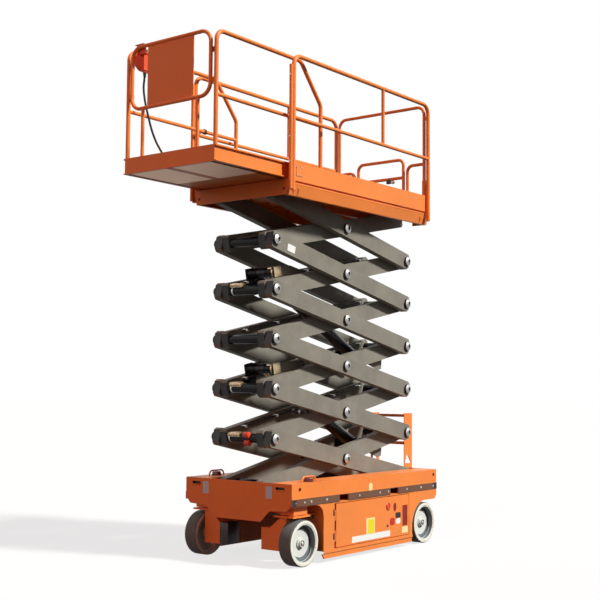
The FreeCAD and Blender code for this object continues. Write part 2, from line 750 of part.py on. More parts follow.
def inner_frame(level, barrel_foot, rod_foot, front_tube, rear_tube):
    """A pair of inner arms joined by cross tubes; low at the front, high at the rear."""
    name = "inner_%d" % level
    top = level == 6
    solids = []
    bores = []
    inside = size("inner_inside")
    for side, sign, place in SIDES:
        label = "%s_%s" % (name, side)
        solids.append(arm_tube(label, inside, sign, -1 if top else 0))
        if top:
            solids.append(cross_drum(label + "_axle", "pin_radius", "-arm_pitch / 2", 0,
                                     both_y("inner_inside - roller_width - 10", "inner_inside + 1")[place]))
            solids.append(cross_drum(label + "_roller", "roller_radius", "-arm_pitch / 2", 0,
                                     both_y("inner_inside - roller_width - 8", "inner_inside - 8")[place]))
        for number, spot in enumerate((0, 1) if top else (-1, 0, 1)):
            bores.append(cross_drum("%s_bore_%d" % (label, number), "pin_radius + running_gap",
                                    "%d * arm_pitch / 2" % spot, 0,
                                    both_y("inner_inside - 1", "inner_inside + arm_width + 1")[place]))
        if barrel_foot:
            solids.append(cross_drum(label + "_stub", "stub_radius", "barrel_foot_s", 0,
                                     both_y("foot_half + 4", "inner_inside + 2")[place]))
            bores.append(cross_drum(label + "_stub_bore", "lift_pin_radius + running_gap", "barrel_foot_s", 0,
                                    both_y("foot_half", "foot_half + 64")[place]))
        if rod_foot:
            solids.append(block(label + "_rod_plate", ("rod_foot_s - 50", "rod_foot_s + 50"),
                                both_y("inner_inside - 22", "inner_inside - 6")[place],
                                (-50, "rod_foot_t + 46")))
            solids.append(block(label + "_rod_pad", ("rod_foot_s - 70", "rod_foot_s + 70"),
                                both_y("inner_inside - 22", "inner_inside + 1")[place], (-60, 60)))
            solids.append(cross_drum(label + "_rod_stub", "stub_radius", "rod_foot_s", "rod_foot_t",
                                     both_y("eye_half + 5", "inner_inside - 10")[place]))
    body = cut(name + "_body", fuse(name + "_solid", solids), bores)
    across = both_y("-inner_inside + seat_gap", "inner_inside - seat_gap")[0]
    tubes = [cut("%s_cross_%d" % (name, number),
                 cross_drum("%s_cross_%d_tube" % (name, number), "tube_radius", spot, 0, across),
                 [cross_drum("%s_cross_%d_bore" % (name, number), "tube_bore", spot, 0, across)])
             for number, spot in enumerate((front_tube, rear_tube))]
    centre_z = size("base_pin_z") + (level - 0.5) * level_rise
    finish(group(name + "_frame", [body] + tubes), "inner_arms_%d" % level,
           turned_y(size("rest_angle"), centre_x, centre_z))


def outer_frame(level):
    """A pair of outer arms with their pins; high at the front, low at the rear."""
    name = "outer_%d" % level
    solids = []
    outside = "outer_inside + arm_width"
    for side, sign, place in SIDES:
        label = "%s_%s" % (name, side)
        pieces = [arm_tube(label, size("outer_inside"), sign, 1 if level == 6 else 0)]
        for number, spot in enumerate((-1, 0, 1)):
            x = "%d * arm_pitch / 2" % spot
            rolls = level == 1 and spot < 0
            start = "pin_reach"
            if rolls:
                start = "outer_inside + 1"
            if level == 6 and spot > 0:
                start = "outer_inside - 22"
            pieces.append(cross_drum("%s_pin_%d" % (label, number), "pin_radius", x, 0,
                                     both_y(start, outside + " + 2")[place]))
            if rolls:
                pieces.append(cross_drum(label + "_roller", "roller_radius", x, 0,
                                         both_y(outside + " + 8", outside + " + 8 + roller_width")[place]))
                pieces.append(cross_drum(label + "_stub", "pin_radius", x, 0,
                                         both_y(outside + " - 2", outside + " + 10 + roller_width")[place]))
            else:
                pieces.append(cross_drum("%s_head_%d" % (label, number), "pin_head_radius", x, 0,
                                         both_y(outside, outside + " + pin_head_proud")[place]))
        solids.append(fuse(label + "_body", pieces))
    centre_z = size("base_pin_z") + (level - 0.5) * level_rise
    finish(group(name + "_body", solids), "outer_arms_%d" % level,
           turned_y(-size("rest_angle"), centre_x, centre_z))


def lift_cylinder(which, level):
    """Barrel and rod, along X from the barrel's foot pin; the rod's eye lies between two stubs."""
    along = FreeCAD.Vector(math.cos(rest_angle), 0, -math.sin(rest_angle))
    up = FreeCAD.Vector(math.sin(rest_angle), 0, math.cos(rest_angle))
    centre = FreeCAD.Vector(centre_x, 0, size("base_pin_z") + (level - 0.5) * level_rise)
    foot = centre + along * size("barrel_foot_s")
    eye = (centre + FreeCAD.Vector(0, 0, 2 * level_rise) + along * size("rod_foot_s")
           + up * size("rod_foot_t"))
    reach = (eye - foot).Length
    placement = turned_y(-math.degrees(math.atan2(eye.z - foot.z, eye.x - foot.x)), foot.x, foot.z)
    back = 56
    tube = drum(which + "_tube", "x", "barrel_radius", 30, 0, 0, "barrel_length - 30")
    foot_block = cross_drum(which + "_foot", "foot_half - 6", 0, 0, both_y("-foot_half", "foot_half")[0])
    pin = cross_drum(which + "_foot_pin", "lift_pin_radius", 0, 0,
                     both_y("-foot_half - 60", "foot_half + 60")[0])
    bore = drum(which + "_bore", "x", "barrel_bore", back, 0, 0, "barrel_length - gland_length - %d" % back)
    mouth = drum(which + "_mouth", "x", "lift_rod_radius + running_gap", back + 4, 0, 0, "barrel_length")
    body = cut(which + "_barrel_body", fuse(which + "_barrel_solid", [tube, foot_block, pin]), [bore, mouth])
    finish(body, which + "_lift_barrel", placement)
    start = "%.6f - shaft_length" % reach
    shaft = drum(which + "_shaft", "x", "lift_rod_radius", start, 0, 0, "shaft_length")
    piston = drum(which + "_piston", "x", "barrel_bore - running_gap", start, 0, 0, "piston_length")
    eye_block = cross_drum(which + "_eye", "eye_radius", reach, 0, both_y("-eye_half", "eye_half")[0])
    finish(fuse(which + "_rod_body", [shaft, piston, eye_block]), which + "_lift_rod",
           FreeCAD.Placement(placement))


# Platform: floor pan on two leaning sills with toe boards above them, cross ribs and end beams,
# channels for the top rollers, and ears for the fixed pins of the highest outer arms.
def platform_deck():
    solids = []
    half = size("deck_half")
    metal = size("sheet_metal")
    low = size("sill_bottom")
    mid = size("groove_z") + 1
    lean = half - size("sill_lean")
    sill = ((half - 6, mid), (lean, low), (lean - 34, low), (lean - 34, low + metal),
            (lean - metal - 1, low + metal), (half - 7 - metal, mid))
    front_half = ((half - 6, mid), (lean, low))
    front = front_half + tuple((-y, z) for y, z in reversed(front_half))
    rear_beam = ("deck_rear", "deck_rear + 8")
    ribs = [("%d" % spot, "%d" % (spot + 6)) for spot in range(-880, 1000, 235)]
    channel_low = top_pin_z - size("roller_radius")
    channel_high = top_pin_z + size("roller_radius")
    bores = []
    deep = "deck_half - groove_depth"
    for side, sign, place in SIDES:
        solids.append(plate_of(side + "_sill", "x", [(sign * y, z) for y, z in sill],
                               size("deck_rear"), size("deck_front")))
        along = ("deck_rear", "deck_front")
        # the groove under the toe board: its wall, its ledge on the sill and the board's foot
        solids.append(block(side + "_groove_wall", along, both_y(deep + " - sheet_metal", deep)[place],
                            ("groove_z", "toe_bottom + 1")))
        solids.append(block(side + "_groove_ledge", along,
                            both_y(deep + " - sheet_metal", "deck_half - 6")[place],
                            ("groove_z - sheet_metal", "groove_z + 1")))
        solids.append(block(side + "_toe_foot", along, both_y(deep + " - sheet_metal", "deck_half")[place],
                            ("toe_bottom", "toe_bottom + sheet_metal")))
        solids.append(block(side + "_toe_board", along, both_y("deck_half - 9", "deck_half")[place],
                            ("toe_bottom", "toe_top")))
        solids.append(block(side + "_rear_beam", rear_beam, both_y("rib_gap_outer", "deck_half - 38")[place],
                            ("sill_bottom + 2", "pan_bottom + 1")))
        for number, span in enumerate(ribs):
            solids.append(block("%s_rib_%d" % (side, number), span,
                                both_y("rib_gap_outer", "deck_half - 38")[place],
                                ("pan_bottom - 32", "pan_bottom + 1")))
        along = ("deck_rear + 10", "-60")
        flange = both_y("inner_inside - roller_width - 17", "inner_inside - 5")[place]
        web = both_y("inner_inside - roller_width - 17", "inner_inside - roller_width - 11")[place]
        for number, (under, over) in enumerate(((channel_low - 9, channel_low - 1),
                                                (channel_high + 1, channel_high + 9))):
            solids.append(block("%s_top_track_%d" % (side, number), along, flange, (under, over)))
        solids.append(block(side + "_top_track_web", along, web, (channel_low - 9, "pan_bottom + 1")))
        solids.append(block(side + "_top_ear", ("fixed_pin_x - 45", "fixed_pin_x + 45"),
                            both_y("outer_inside - 24", "outer_inside - 4")[place],
                            (top_pin_z - 42, "pan_bottom + 1")))
        solids.append(block(side + "_slide_pad", ("deck_front - 50", "deck_front - 10"),
                            both_y("ext_half - 20", "ext_half - 2")[place],
                            ("floor_z - 1", "ext_bottom - seat_gap")))
        bores.append(cross_drum(side + "_top_bore", "pin_radius + running_gap", "fixed_pin_x", top_pin_z,
                                both_y("outer_inside - 30", "outer_inside + 3")[place]))
    solids.append(block("deck_pan", ("deck_rear", "deck_front"), ("-deck_half + 8", "deck_half - 8"),
                        ("pan_bottom", "floor_z")))
    middle = ("-rib_gap_inner", "rib_gap_inner")
    solids.append(block("middle_rear_beam", rear_beam, middle, ("sill_bottom + 2", "pan_bottom + 1")))
    solids.append(plate_of("front_beam_plate", "x", list(front), size("deck_front") - 8, size("deck_front")))
    solids.append(block("front_beam_head", ("deck_front - 8", "deck_front"),
                        ("-deck_half + groove_depth + 2", "deck_half - groove_depth - 2"),
                        ("groove_z", "pan_bottom + 1")))
    for number, span in enumerate(ribs):
        solids.append(block("middle_rib_%d" % number, span, middle, ("pan_bottom - 32", "pan_bottom + 1")))
    finish(cut("deck_body", fuse("deck_solid", solids), bores), "platform_deck")


# Guardrails of the main platform: a loop outside each toe board with a guide tube in front of
# its front post, a mid rail and a post, and at the rear an inverted U with a low hoop on each
# side of the gate.
def main_guardrails():
    radius = size("rail_radius")
    thin = radius - 3
    front = size("post_front")
    rear = size("post_rear")
    top = size("rail_top_z")
    mid = size("mid_rail_z")
    foot = size("post_foot")
    rail_y = size("deck_half") + radius + size("seat_gap")
    floor = size("floor_z") + size("seat_gap")
    frame_y = size("rear_frame_y")
    solids = []
    for side, sign, place in SIDES:
        y = sign * rail_y
        solids.append(bent_tube(side + "_rail_loop", [(front, y, foot), (front, y, top), (rear, y, top),
                                                      (rear, y, foot)], radius, 90))
        solids.append(drum(side + "_guide_tube", "z", thin, "guide_x", y, foot + 10, top - foot - 100))
        solids.append(drum(side + "_mid_rail", "x", thin, rear, y, mid, front - rear))
        solids.append(drum(side + "_mid_post", "z", thin, "mid_post_x", y, mid, top - mid))
        for height in ("frame_bracket_high", "frame_bracket_low"):
            solids.append(block("%s_%s" % (side, height), (rear - 5, rear + 5),
                                both_y(frame_y, rail_y)[place], (height, height + " + 40")))
        inner = sign * (size("gate_half") + size("gate_post_gap"))
        hoop = size("rear_hoop_z")
        solids.append(bent_tube(side + "_rear_hoop", [(rear, inner, floor), (rear, inner, hoop),
                                                      (rear, sign * frame_y, hoop)], thin, 60))
    solids.append(bent_tube("rear_frame", [(rear, -frame_y, floor), (rear, -frame_y, top),
                                           (rear, frame_y, top), (rear, frame_y, floor)], thin, 80))
    finish(fuse("main_rails_body", solids), "main_guardrails")


# Entry gate: a half-height hoop with a bar and a kick plate; two sleeves turn on the leg of the
# hoop at its right-hand edge.
def entry_gate():
    rear = size("post_rear")
    half = size("gate_half")
    low = size("toe_top") + 30
    high = size("gate_top_z")
    thin = size("rail_radius") - 3
    leg = -half - size("gate_post_gap")
    corners = [(rear, -half, low), (rear, -half, high), (rear, half, high), (rear, half, low)]
    solids = [
        bent_tube("gate_hoop", corners, thin, 60),
        drum("gate_bar", "y", thin, rear, -half, "gate_bar_z", 2 * half),
        block("gate_plate", (rear - 4, rear + 4), (-half - thin, half + thin), ("floor_z + 12", low + 10)),
    ]
    bores = []
    for number, height in enumerate((low + 20, "gate_bar_z - 22")):
        solids.append(drum("gate_sleeve_%d" % number, "z", thin + 8, rear, leg, height, 44))
        solids.append(block("gate_arm_%d" % number, (rear - 6, rear + 6), (leg + thin + 3, -half),
                            (height, "%s + 44" % height)))
        bores.append(drum("gate_sleeve_bore_%d" % number, "z", "rail_radius - 3 + running_gap", rear, leg,
                          "%s - 1" % height, 46))
    finish(cut("gate_body", fuse("gate_solid", solids), bores), "entry_gate")


# Extension deck: a ribbed floor between two side beams, with a toe board at the front, pads that
# slide on the platform floor, and the cable's socket.
def extension_deck():
    span = ("ext_rear", "ext_front")
    solids = [
        block("ext_floor_sheet", span, ("-ext_half + 3", "ext_half - 3"), ("ext_floor - 4", "ext_floor")),
        block("ext_toe", ("ext_front - 12", "ext_front"), ("-ext_half", "ext_half"),
              ("ext_bottom", "ext_beam_top")),
        drum("ext_socket", "z", "gland_radius + 2", CABLE_X, CABLE_ROUTE[-1][0], "ext_floor - 1", 21),
    ]
    for number in range(7):
        spot = size("ext_rear") + 6 + 208 * number
        solids.append(block("ext_rib_%d" % number, (spot, spot + 6), ("-ext_half + 3", "ext_half - 3"),
                            ("ext_bottom", "ext_floor - 3")))
    for side, sign, place in SIDES:
        solids.append(block(side + "_ext_beam", span, both_y("ext_half - 22", "ext_half")[place],
                            ("ext_bottom", "ext_beam_top")))
        solids.append(block(side + "_ext_pad", ("ext_rear + 20", "ext_rear + 100"),
                            both_y("ext_half - 20", "ext_half - 2")[place],
                            ("floor_z + seat_gap", "ext_bottom + 1")))
    finish(fuse("ext_body", solids), "extension_deck")


# Guardrails of the extension: on each side a rail from the front post that slopes down to a rear
# leg, and a rounded loop across the front that holds a panel and stands on two legs.
def extension_guardrails():
    radius = size("rail_radius") - 1
    thin = size("rail_radius") - 3
    front = size("ext_post_front")
    leg = size("ext_leg_x")
    top = size("rail_top_z")
    mid = size("ext_mid_z")
    foot = size("ext_beam_top") + size("seat_gap")
    loop = size("loop_x")
    low = size("loop_bottom")
    high = size("loop_top")
    wide = size("loop_half")
    solids = [block("front_panel", (loop - 3, loop + 3), ("-panel_half", "panel_half"), (low, high))]
    for side, sign, place in SIDES:
        y = sign * size("ext_rail_y")
        rail = [(front, y, foot), (front, y, top), (size("ext_bend_x"), y, top),
                (leg, y, size("ext_leg_top")), (leg, y, foot)]
        solids.append(bent_tube(side + "_ext_rail", rail, radius, 80))
        solids.append(drum(side + "_ext_mid", "x", thin, leg, y, mid, front - leg))
        solids.append(drum(side + "_front_leg", "z", thin - 1, loop, "%d * front_leg_y" % sign, foot,
                           low - foot))
        for number, height in enumerate((4070, 3830)):
            solids.append(block("%s_loop_lug_%d" % (side, number), (loop - 20, loop - 4),
                                both_y("loop_half", "ext_rail_y")[place], (height, height + 30)))
    path = [(loop, 0, low), (loop, wide, low), (loop, wide, high), (loop, -wide, high), (loop, -wide, low),
            (loop, 0, low)]
    solids.append(bent_tube("front_loop", path, thin, 100))
    finish(fuse("ext_rails_body", solids), "extension_guardrails")


# Control box: hangs behind the front loop's top rail at its far end, on a plate with a hook. Its
# lower outer edge is sloped, and the cable's gland is underneath.
def control_box():
    rail = "loop_x - rail_radius + 3 - seat_gap"
    over = "loop_top + rail_radius - 3 + seat_gap"
    hanger = ("-hanger_outer", "-hanger_inner")
    outline = [(-size("box_inner"), size("box_top")), (-size("box_inner"), size("box_bottom")),
               (-size("box_slope_y"), size("box_bottom")), (-size("box_outer"), size("box_slope_z")),
               (-size("box_outer"), size("box_top"))]
    solids = [
        plate_of("box_body", "x", outline, size("box_front") - size("box_depth"), size("box_front")),
        block("box_shelf", ("box_front - 1", rail), hanger, ("box_top - 14", "box_top - 6")),
        block("box_plate", (rail + " - 5", rail), hanger, ("box_top - 14", over + " + 5")),
        block("box_hook", (rail + " - 5", "loop_x + 12"), hanger, (over, over + " + 5")),
        drum("box_gland", "z", "gland_radius", CABLE_X, CABLE_ROUTE[0][0], "box_bottom - 15", 16),
    ]
    finish(fuse("box_solid", solids), "control_box")


# Control cable: one round cord from the gland down to the socket on the extension floor, in the
# plane x = CABLE_X; the route's points are (y, z).
CABLE_X = 1890
CABLE_ROUTE = (
    (-385, 4054.3),
    (-387, 4000),
    (-399, 3930),
    (-376, 3808),
    (-347, 3718),
    (-298, 3570),
    (-239, 3451),
    (-182, 3374),
    (-138, 3306),
    (-130, 3247.2),
)


def control_cable():
    points = [FreeCAD.Vector(CABLE_X, y, z) for y, z in CABLE_ROUTE]
    bends = []
    for before, corner, after in zip(points, points[1:], points[2:]):
        arriving = corner - before
        leaving = after - corner
        half_turn = arriving.getAngle(leaving) / 2
        bends.append(0.45 * min(arriving.Length, leaving.Length) / math.tan(half_turn))
    path = rounded_path(points, bends)
    cable = tube_along("cable_tube", path, size("cable_radius"))
    expected = math.pi * size("cable_radius") ** 2 * path.Length
    print("cable length %.0f mm, smallest bend %.0f mm, volume ratio %.4f"
          % (path.Length, min(bends), cable.Shape.Volume / expected))
    finish(cable, "control_cable")


# Ladder at the rear: two flat stringers with rungs, hung on the rear plate by brackets.
def boarding_ladder():
    solids = []
    window = ((-1197, 718), (-1234, 815), (-1309, 713))
    for side, sign, place in SIDES:
        stringer = block(side + "_stringer", ("ladder_rear", "ladder_front"),
                         both_y("ladder_half - 6", "ladder_half")[place], ("ladder_bottom", "ladder_top"))
        low, high = sorted((sign * (size("ladder_half") - 7), sign * (size("ladder_half") + 1)))
        solids.append(cut(side + "_stringer_cut", stringer,
                          [plate_of(side + "_window", "y", list(window), low, high)]))
        solids.append(block(side + "_ladder_bracket", ("ladder_front - 40", "chassis_rear - seat_gap"),
                            both_y("ladder_half - 12", "ladder_half - 5")[place],
                            ("chassis_lip + 20", "chassis_top - 20")))
    for number, height in enumerate((360, 630, 900, 1172)):
        solids.append(block("rung_%d" % number, ("ladder_rear + 30", "ladder_front - 20"),
                            ("-ladder_half + 2", "ladder_half - 2"), (height, height + 26)))
    finish(fuse("ladder_body", solids), "boarding_ladder")


# Warning lamps on the chassis top at the front, each under a bent guard hoop.
def warning_lamps():
    solids = []
    x = size("lamp_x")
    foot = size("chassis_top") + size("seat_gap")
    top = foot + size("hoop_height")
    for side, sign, place in SIDES:
        y = sign * size("lamp_y")
        solids.append(drum(side + "_lamp", "z", "lamp_radius", x, y, foot, "lamp_height"))
        reach = size("hoop_reach")
        solids.append(bent_tube(side + "_lamp_hoop", [(x - reach, y, foot), (x - reach, y, top),
                                                      (x + reach, y, top), (x + reach, y, foot)], 7, 40))
    finish(group("lamp_solids", solids), "warning_lamps")


chassis_frame()
side_bays()
rub_strakes()
power_blocks()
front_axle()
rear_axle()
tie_rod()
scissor_mounts()
boarding_ladder()
warning_lamps()
for side_row in SIDES:
    door(*side_row)
    pothole_guard(*side_row)
    knuckle(*side_row)

# corner, sign of X, sign of Y
WHEELS = (
    ("front_left", 1, 1),
    ("front_right", 1, -1),
    ("rear_left", -1, 1),
    ("rear_right", -1, -1),
)
for corner, x_sign, y_sign in WHEELS:
    wheel(corner, x_sign, y_sign)

# level, barrel foot, rod foot, places of the two cross tubes
INNER_FRAMES = (
    (1, True, False, "arm_pitch / 2 - 112", "-arm_pitch / 2"),
    (2, False, False, "arm_pitch / 2", "-arm_pitch / 2"),
    (3, True, True, "arm_pitch / 2", "-arm_pitch / 2"),
    (4, False, False, "arm_pitch / 2", "-arm_pitch / 2"),
    (5, False, True, "arm_pitch / 2", "-arm_pitch / 2"),
    (6, False, False, "arm_pitch / 2", "arm_pitch / 2 - 740"),
)
for frame_row in INNER_FRAMES:
    inner_frame(*frame_row)
for level in range(1, 7):
    outer_frame(level)
lift_cylinder("lower", 1)
lift_cylinder("upper", 3)
platform_deck()
main_guardrails()
entry_gate()
extension_deck()
extension_guardrails()
control_box()
control_cable()

doc.recompute()
shift = FreeCAD.Placement(FreeCAD.Vector(-size("origin_shift"), 0, 0), FreeCAD.Rotation())
for item in parts:
    item.Placement = shift.multiply(item.Placement)
doc.recompute()

for item in doc.Objects:
    if "Invalid" in item.State or "Error" in item.State:
        raise RuntimeError("%s did not recompute: %s" % (item.Name, item.State))
for item in parts:
    shape = item.Shape
    if shape.isNull() or not shape.isValid():
        raise RuntimeError("%s has no valid shape" % item.Label)
for item in parts:
    item.Shape.exportStep("parts/%s.step" % item.Label)
print("%d sub-parts written" % len(parts))
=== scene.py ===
import bpy
import math
from mathutils import Matrix, Vector


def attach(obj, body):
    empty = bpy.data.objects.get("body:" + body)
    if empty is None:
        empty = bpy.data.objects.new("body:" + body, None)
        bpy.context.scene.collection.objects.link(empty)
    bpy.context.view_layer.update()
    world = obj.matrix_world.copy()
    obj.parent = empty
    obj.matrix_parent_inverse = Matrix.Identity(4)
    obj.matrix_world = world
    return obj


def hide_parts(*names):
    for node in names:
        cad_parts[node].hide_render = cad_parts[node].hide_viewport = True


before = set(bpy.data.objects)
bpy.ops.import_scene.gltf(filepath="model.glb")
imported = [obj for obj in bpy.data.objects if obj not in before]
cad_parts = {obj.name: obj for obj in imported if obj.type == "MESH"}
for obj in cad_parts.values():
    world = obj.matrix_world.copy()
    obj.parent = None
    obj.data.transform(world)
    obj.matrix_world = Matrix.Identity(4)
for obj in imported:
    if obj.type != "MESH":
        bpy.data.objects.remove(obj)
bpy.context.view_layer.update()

# Studio: a broad pale floor under a white sky, one large lamp high on the machine's left and a
# little behind it, and weak ones on its right and in front. The camera stands low, off the
# front left corner, and looks slightly up, as in the photograph.
# how far the frame's origin lies ahead of the chassis' middle, half way between the axles
SHIFT = 0.334


def linear(text):
    """A colour from its sRGB hex digits, as shaders take it."""
    values = [int(text[place:place + 2], 16) / 255 for place in (0, 2, 4)]
    return [value / 12.92 if value <= 0.04045 else ((value + 0.055) / 1.055) ** 2.4
            for value in values] + [1.0]


def add_node(tree, kind, settings=(), links=()):
    """A node with its settings, by property or socket name, and its inputs linked to sockets."""
    node = tree.nodes.new(kind)
    for name, value in settings:
        if isinstance(name, str) and hasattr(node, name):
            setattr(node, name, value)
        else:
            node.inputs[name].default_value = value
    for name, source in links:
        tree.links.new(source, node.inputs[name])
    return node


eye = Vector((8.2769 - SHIFT, 6.2075, 1.486))
yaw = math.radians(217.765)
pitch = math.radians(4.337)
roll = 0.0069
ahead = Vector((math.cos(pitch) * math.cos(yaw), math.cos(pitch) * math.sin(yaw), math.sin(pitch)))
level_right = ahead.cross(Vector((0, 0, 1))).normalized()
level_up = level_right.cross(ahead)
right = level_right * math.cos(roll) + level_up * math.sin(roll)
up = right.cross(ahead)
camera = bpy.data.objects.new("camera", bpy.data.cameras.new("camera"))
bpy.context.collection.objects.link(camera)
turn = Matrix((right, up, -ahead)).transposed()
camera.matrix_world = Matrix.Translation(eye) @ turn.to_4x4()
camera.data.sensor_width = 36
camera.data.lens = 66.98
camera.data.clip_end = 200
bpy.context.scene.camera = camera
bpy.context.scene.view_settings.view_transform = "Standard"

for name, toward, strength, softness, colour in (
        ("key_lamp", (-0.34, 1.0, 0.95), 4.35, 7, "FFFDFA"),
        ("far_lamp", (-0.2, -1.0, 0.5), 0.35, 50, "F2F6FF"),
        ("front_lamp", (1.0, 0.05, 0.3), 0.86, 40, "FFA68E")):
    lamp = bpy.data.objects.new(name, bpy.data.lights.new(name, "SUN"))
    lamp.data.energy = strength
    lamp.data.angle = math.radians(softness)
    lamp.data.color = linear(colour)[:3]
    lamp.rotation_euler = Vector(toward).to_track_quat("Z", "Y").to_euler()
    bpy.context.collection.objects.link(lamp)

world = bpy.data.worlds.new("white_room")
bpy.context.scene.world = world
world.use_nodes = True
room = world.node_tree
room.nodes.clear()
path = add_node(room, "ShaderNodeLightPath")
seen = add_node(room, "ShaderNodeMath", (("operation", "MAXIMUM"),),
                ((0, path.outputs["Is Camera Ray"]), (1, path.outputs["Is Glossy Ray"])))
fill = add_node(room, "ShaderNodeBackground", (("Color", linear("F4F6FA")), ("Strength", 0.075)))
white = add_node(room, "ShaderNodeBackground", (("Color", (1, 1, 1, 1)), ("Strength", 1.0)))
both = add_node(room, "ShaderNodeMixShader", (),
                ((0, seen.outputs[0]), (1, fill.outputs[0]), (2, white.outputs[0])))
add_node(room, "ShaderNodeOutputWorld", (), (("Surface", both.outputs[0]),))

bpy.ops.object.select_all(action="DESELECT")
bpy.ops.mesh.primitive_plane_add(size=160, location=(0, 0, 0))
floor = bpy.context.object
floor.name = "studio_floor"
floor_paint = bpy.data.materials.new("pale_studio_floor")
floor_paint.use_nodes = True
tree = floor_paint.node_tree
tree.nodes.clear()
matt = add_node(tree, "ShaderNodeBsdfDiffuse", (("Color", linear("F8F8F8")),))
# light that the floor throws back at the machine is kept low, as under an open sky
dim = add_node(tree, "ShaderNodeBsdfDiffuse", (("Color", linear("343434")),))
straight = add_node(tree, "ShaderNodeLightPath")
# part of the pale floor glows, so that the backdrop stays white and the shadow on it light
glow = add_node(tree, "ShaderNodeEmission", (("Color", (1, 1, 1, 1)), ("Strength", 1.0)))
pale = add_node(tree, "ShaderNodeMixShader", (("Fac", 0.75),), ((1, matt.outputs[0]), (2, glow.outputs[0])))
mirrored = add_node(tree, "ShaderNodeMath", (("operation", "MULTIPLY"), (1, 0.5)),
                    ((0, straight.outputs["Is Glossy Ray"]),))
clear = add_node(tree, "ShaderNodeMath", (("operation", "MAXIMUM"),),
                 ((0, straight.outputs["Is Camera Ray"]), (1, mirrored.outputs[0])))
ground = add_node(tree, "ShaderNodeMixShader", (),
                  ((0, clear.outputs[0]), (1, dim.outputs[0]), (2, pale.outputs[0])))
add_node(tree, "ShaderNodeOutputMaterial", (), (("Surface", ground.outputs[0]),))
floor.data.materials.append(floor_paint)


# Orange steelwork: chassis, compartments, doors, axles, platform, rails, extension and ladder.
# Folded sheet and tube, welded, then sprayed with a gloss enamel: an even orange that holds
# road dust low on the chassis and dulls a little on wide faces.
def blank_material(name):
    """A new material, its emptied node tree and its object coordinates."""
    material = bpy.data.materials.new(name)
    material.use_nodes = True
    tree = material.node_tree
    tree.nodes.clear()
    return material, tree, add_node(tree, "ShaderNodeTexCoord").outputs["Object"]


def enamel(name, colour, dusty, roughness=0.42, coat=0.08):
    """Gloss enamel over steel; dusty is how strongly dust lies on it near the floor."""
    material, tree, where = blank_material(name)
    # cloudy fading, patches about 0.5 m wide
    cloud = add_node(tree, "ShaderNodeTexNoise", (("Scale", 2.0), ("Detail", 5.0), ("Roughness", 0.6)),
                     (("Vector", where),))
    # spray texture and grime, about 8 mm across, coarser than the real orange peel so that it shows
    grain = add_node(tree, "ShaderNodeTexNoise", (("Scale", 120.0), ("Detail", 3.0)),
                     (("Vector", where),))
    height = add_node(tree, "ShaderNodeSeparateXYZ", (), ((0, where),))
    low = add_node(tree, "ShaderNodeMapRange",
                   (("From Min", 0.75), ("From Max", 0.05), ("To Min", 0.0), ("To Max", dusty)),
                   (("Value", height.outputs["Z"]),))
    patches = add_node(tree, "ShaderNodeMapRange", (("From Min", 0.35), ("From Max", 0.7)),
                       (("Value", cloud.outputs[0]),))
    dust = add_node(tree, "ShaderNodeMath", (("operation", "MULTIPLY"),),
                    ((0, low.outputs[0]), (1, patches.outputs[0])))
    faded = add_node(tree, "ShaderNodeMix",
                     (("data_type", "RGBA"), (6, linear(colour)),
                      (7, [value * 0.88 for value in linear(colour)[:3]] + [1])),
                     ((0, patches.outputs[0]),))
    dusted = add_node(tree, "ShaderNodeMix", (("data_type", "RGBA"), (7, linear("A79A88"))),
                      ((0, dust.outputs[0]), (6, faded.outputs[2])))
    dull = add_node(tree, "ShaderNodeMapRange", (("To Min", roughness - 0.06), ("To Max", roughness + 0.12)),
                    (("Value", grain.outputs[0]),))
    peel = add_node(tree, "ShaderNodeBump", (("Strength", 0.06), ("Distance", 0.002)),
                    (("Height", grain.outputs[0]),))
    skin = add_node(tree, "ShaderNodeBsdfPrincipled",
                    (("Coat Weight", coat), ("Coat Roughness", 0.15), ("Specular IOR Level", 0.3)),
                    (("Base Color", dusted.outputs[2]), ("Roughness", dull.outputs[0]),
                     ("Normal", peel.outputs[0])))
    add_node(tree, "ShaderNodeOutputMaterial", (), (("Surface", skin.outputs[0]),))
    return material


def coat_nodes(material, names):
    """Puts a material on CAD nodes."""
    for name in names:
        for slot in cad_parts[name].material_slots:
            slot.material = material


orange_enamel = enamel("orange_gloss_enamel", "FC8E40", 0.10)
coat_nodes(orange_enamel, (
    "chassis_frame", "side_bays", "left_door", "right_door", "left_pothole_guard", "right_pothole_guard",
    "front_axle", "rear_axle", "left_knuckle", "right_knuckle", "platform_deck", "main_guardrails",
    "entry_gate", "extension_deck", "extension_guardrails", "boarding_ladder"))


# Wheels: solid non-marking tyres, pale rubber whose tread is grey-brown with use, pressed on
# dished steel rims in pale enamel. In the middle a turned collar holds a castle nut.
def pick(piece, kind, test):
    """Selects the faces or edges of a mesh that pass a test on their centre and normal."""
    bpy.ops.object.mode_set(mode="EDIT")
    bpy.ops.mesh.select_mode(type=kind)
    bpy.ops.mesh.select_all(action="DESELECT")
    bpy.ops.object.mode_set(mode="OBJECT")
    mesh = piece.data
    if kind == "FACE":
        for face in mesh.polygons:
            face.select = test(face.center, face.normal)
    else:
        for edge in mesh.edges:
            first, second = (mesh.vertices[number].co for number in edge.vertices)
            edge.select = test((first + second) / 2, second - first)
    bpy.ops.object.mode_set(mode="EDIT")


def top_face(centre, normal):
    return normal.z > 0.9


def end_face(centre, normal):
    return abs(normal.z) > 0.9


def bevelled(piece, kind, offset, segments, test):
    """Rounds the edges that pass a test, or the rims of the faces that do."""
    pick(piece, kind, test)
    bpy.ops.mesh.bevel(offset=offset, segments=segments, affect="EDGES")
    bpy.ops.object.mode_set(mode="OBJECT")


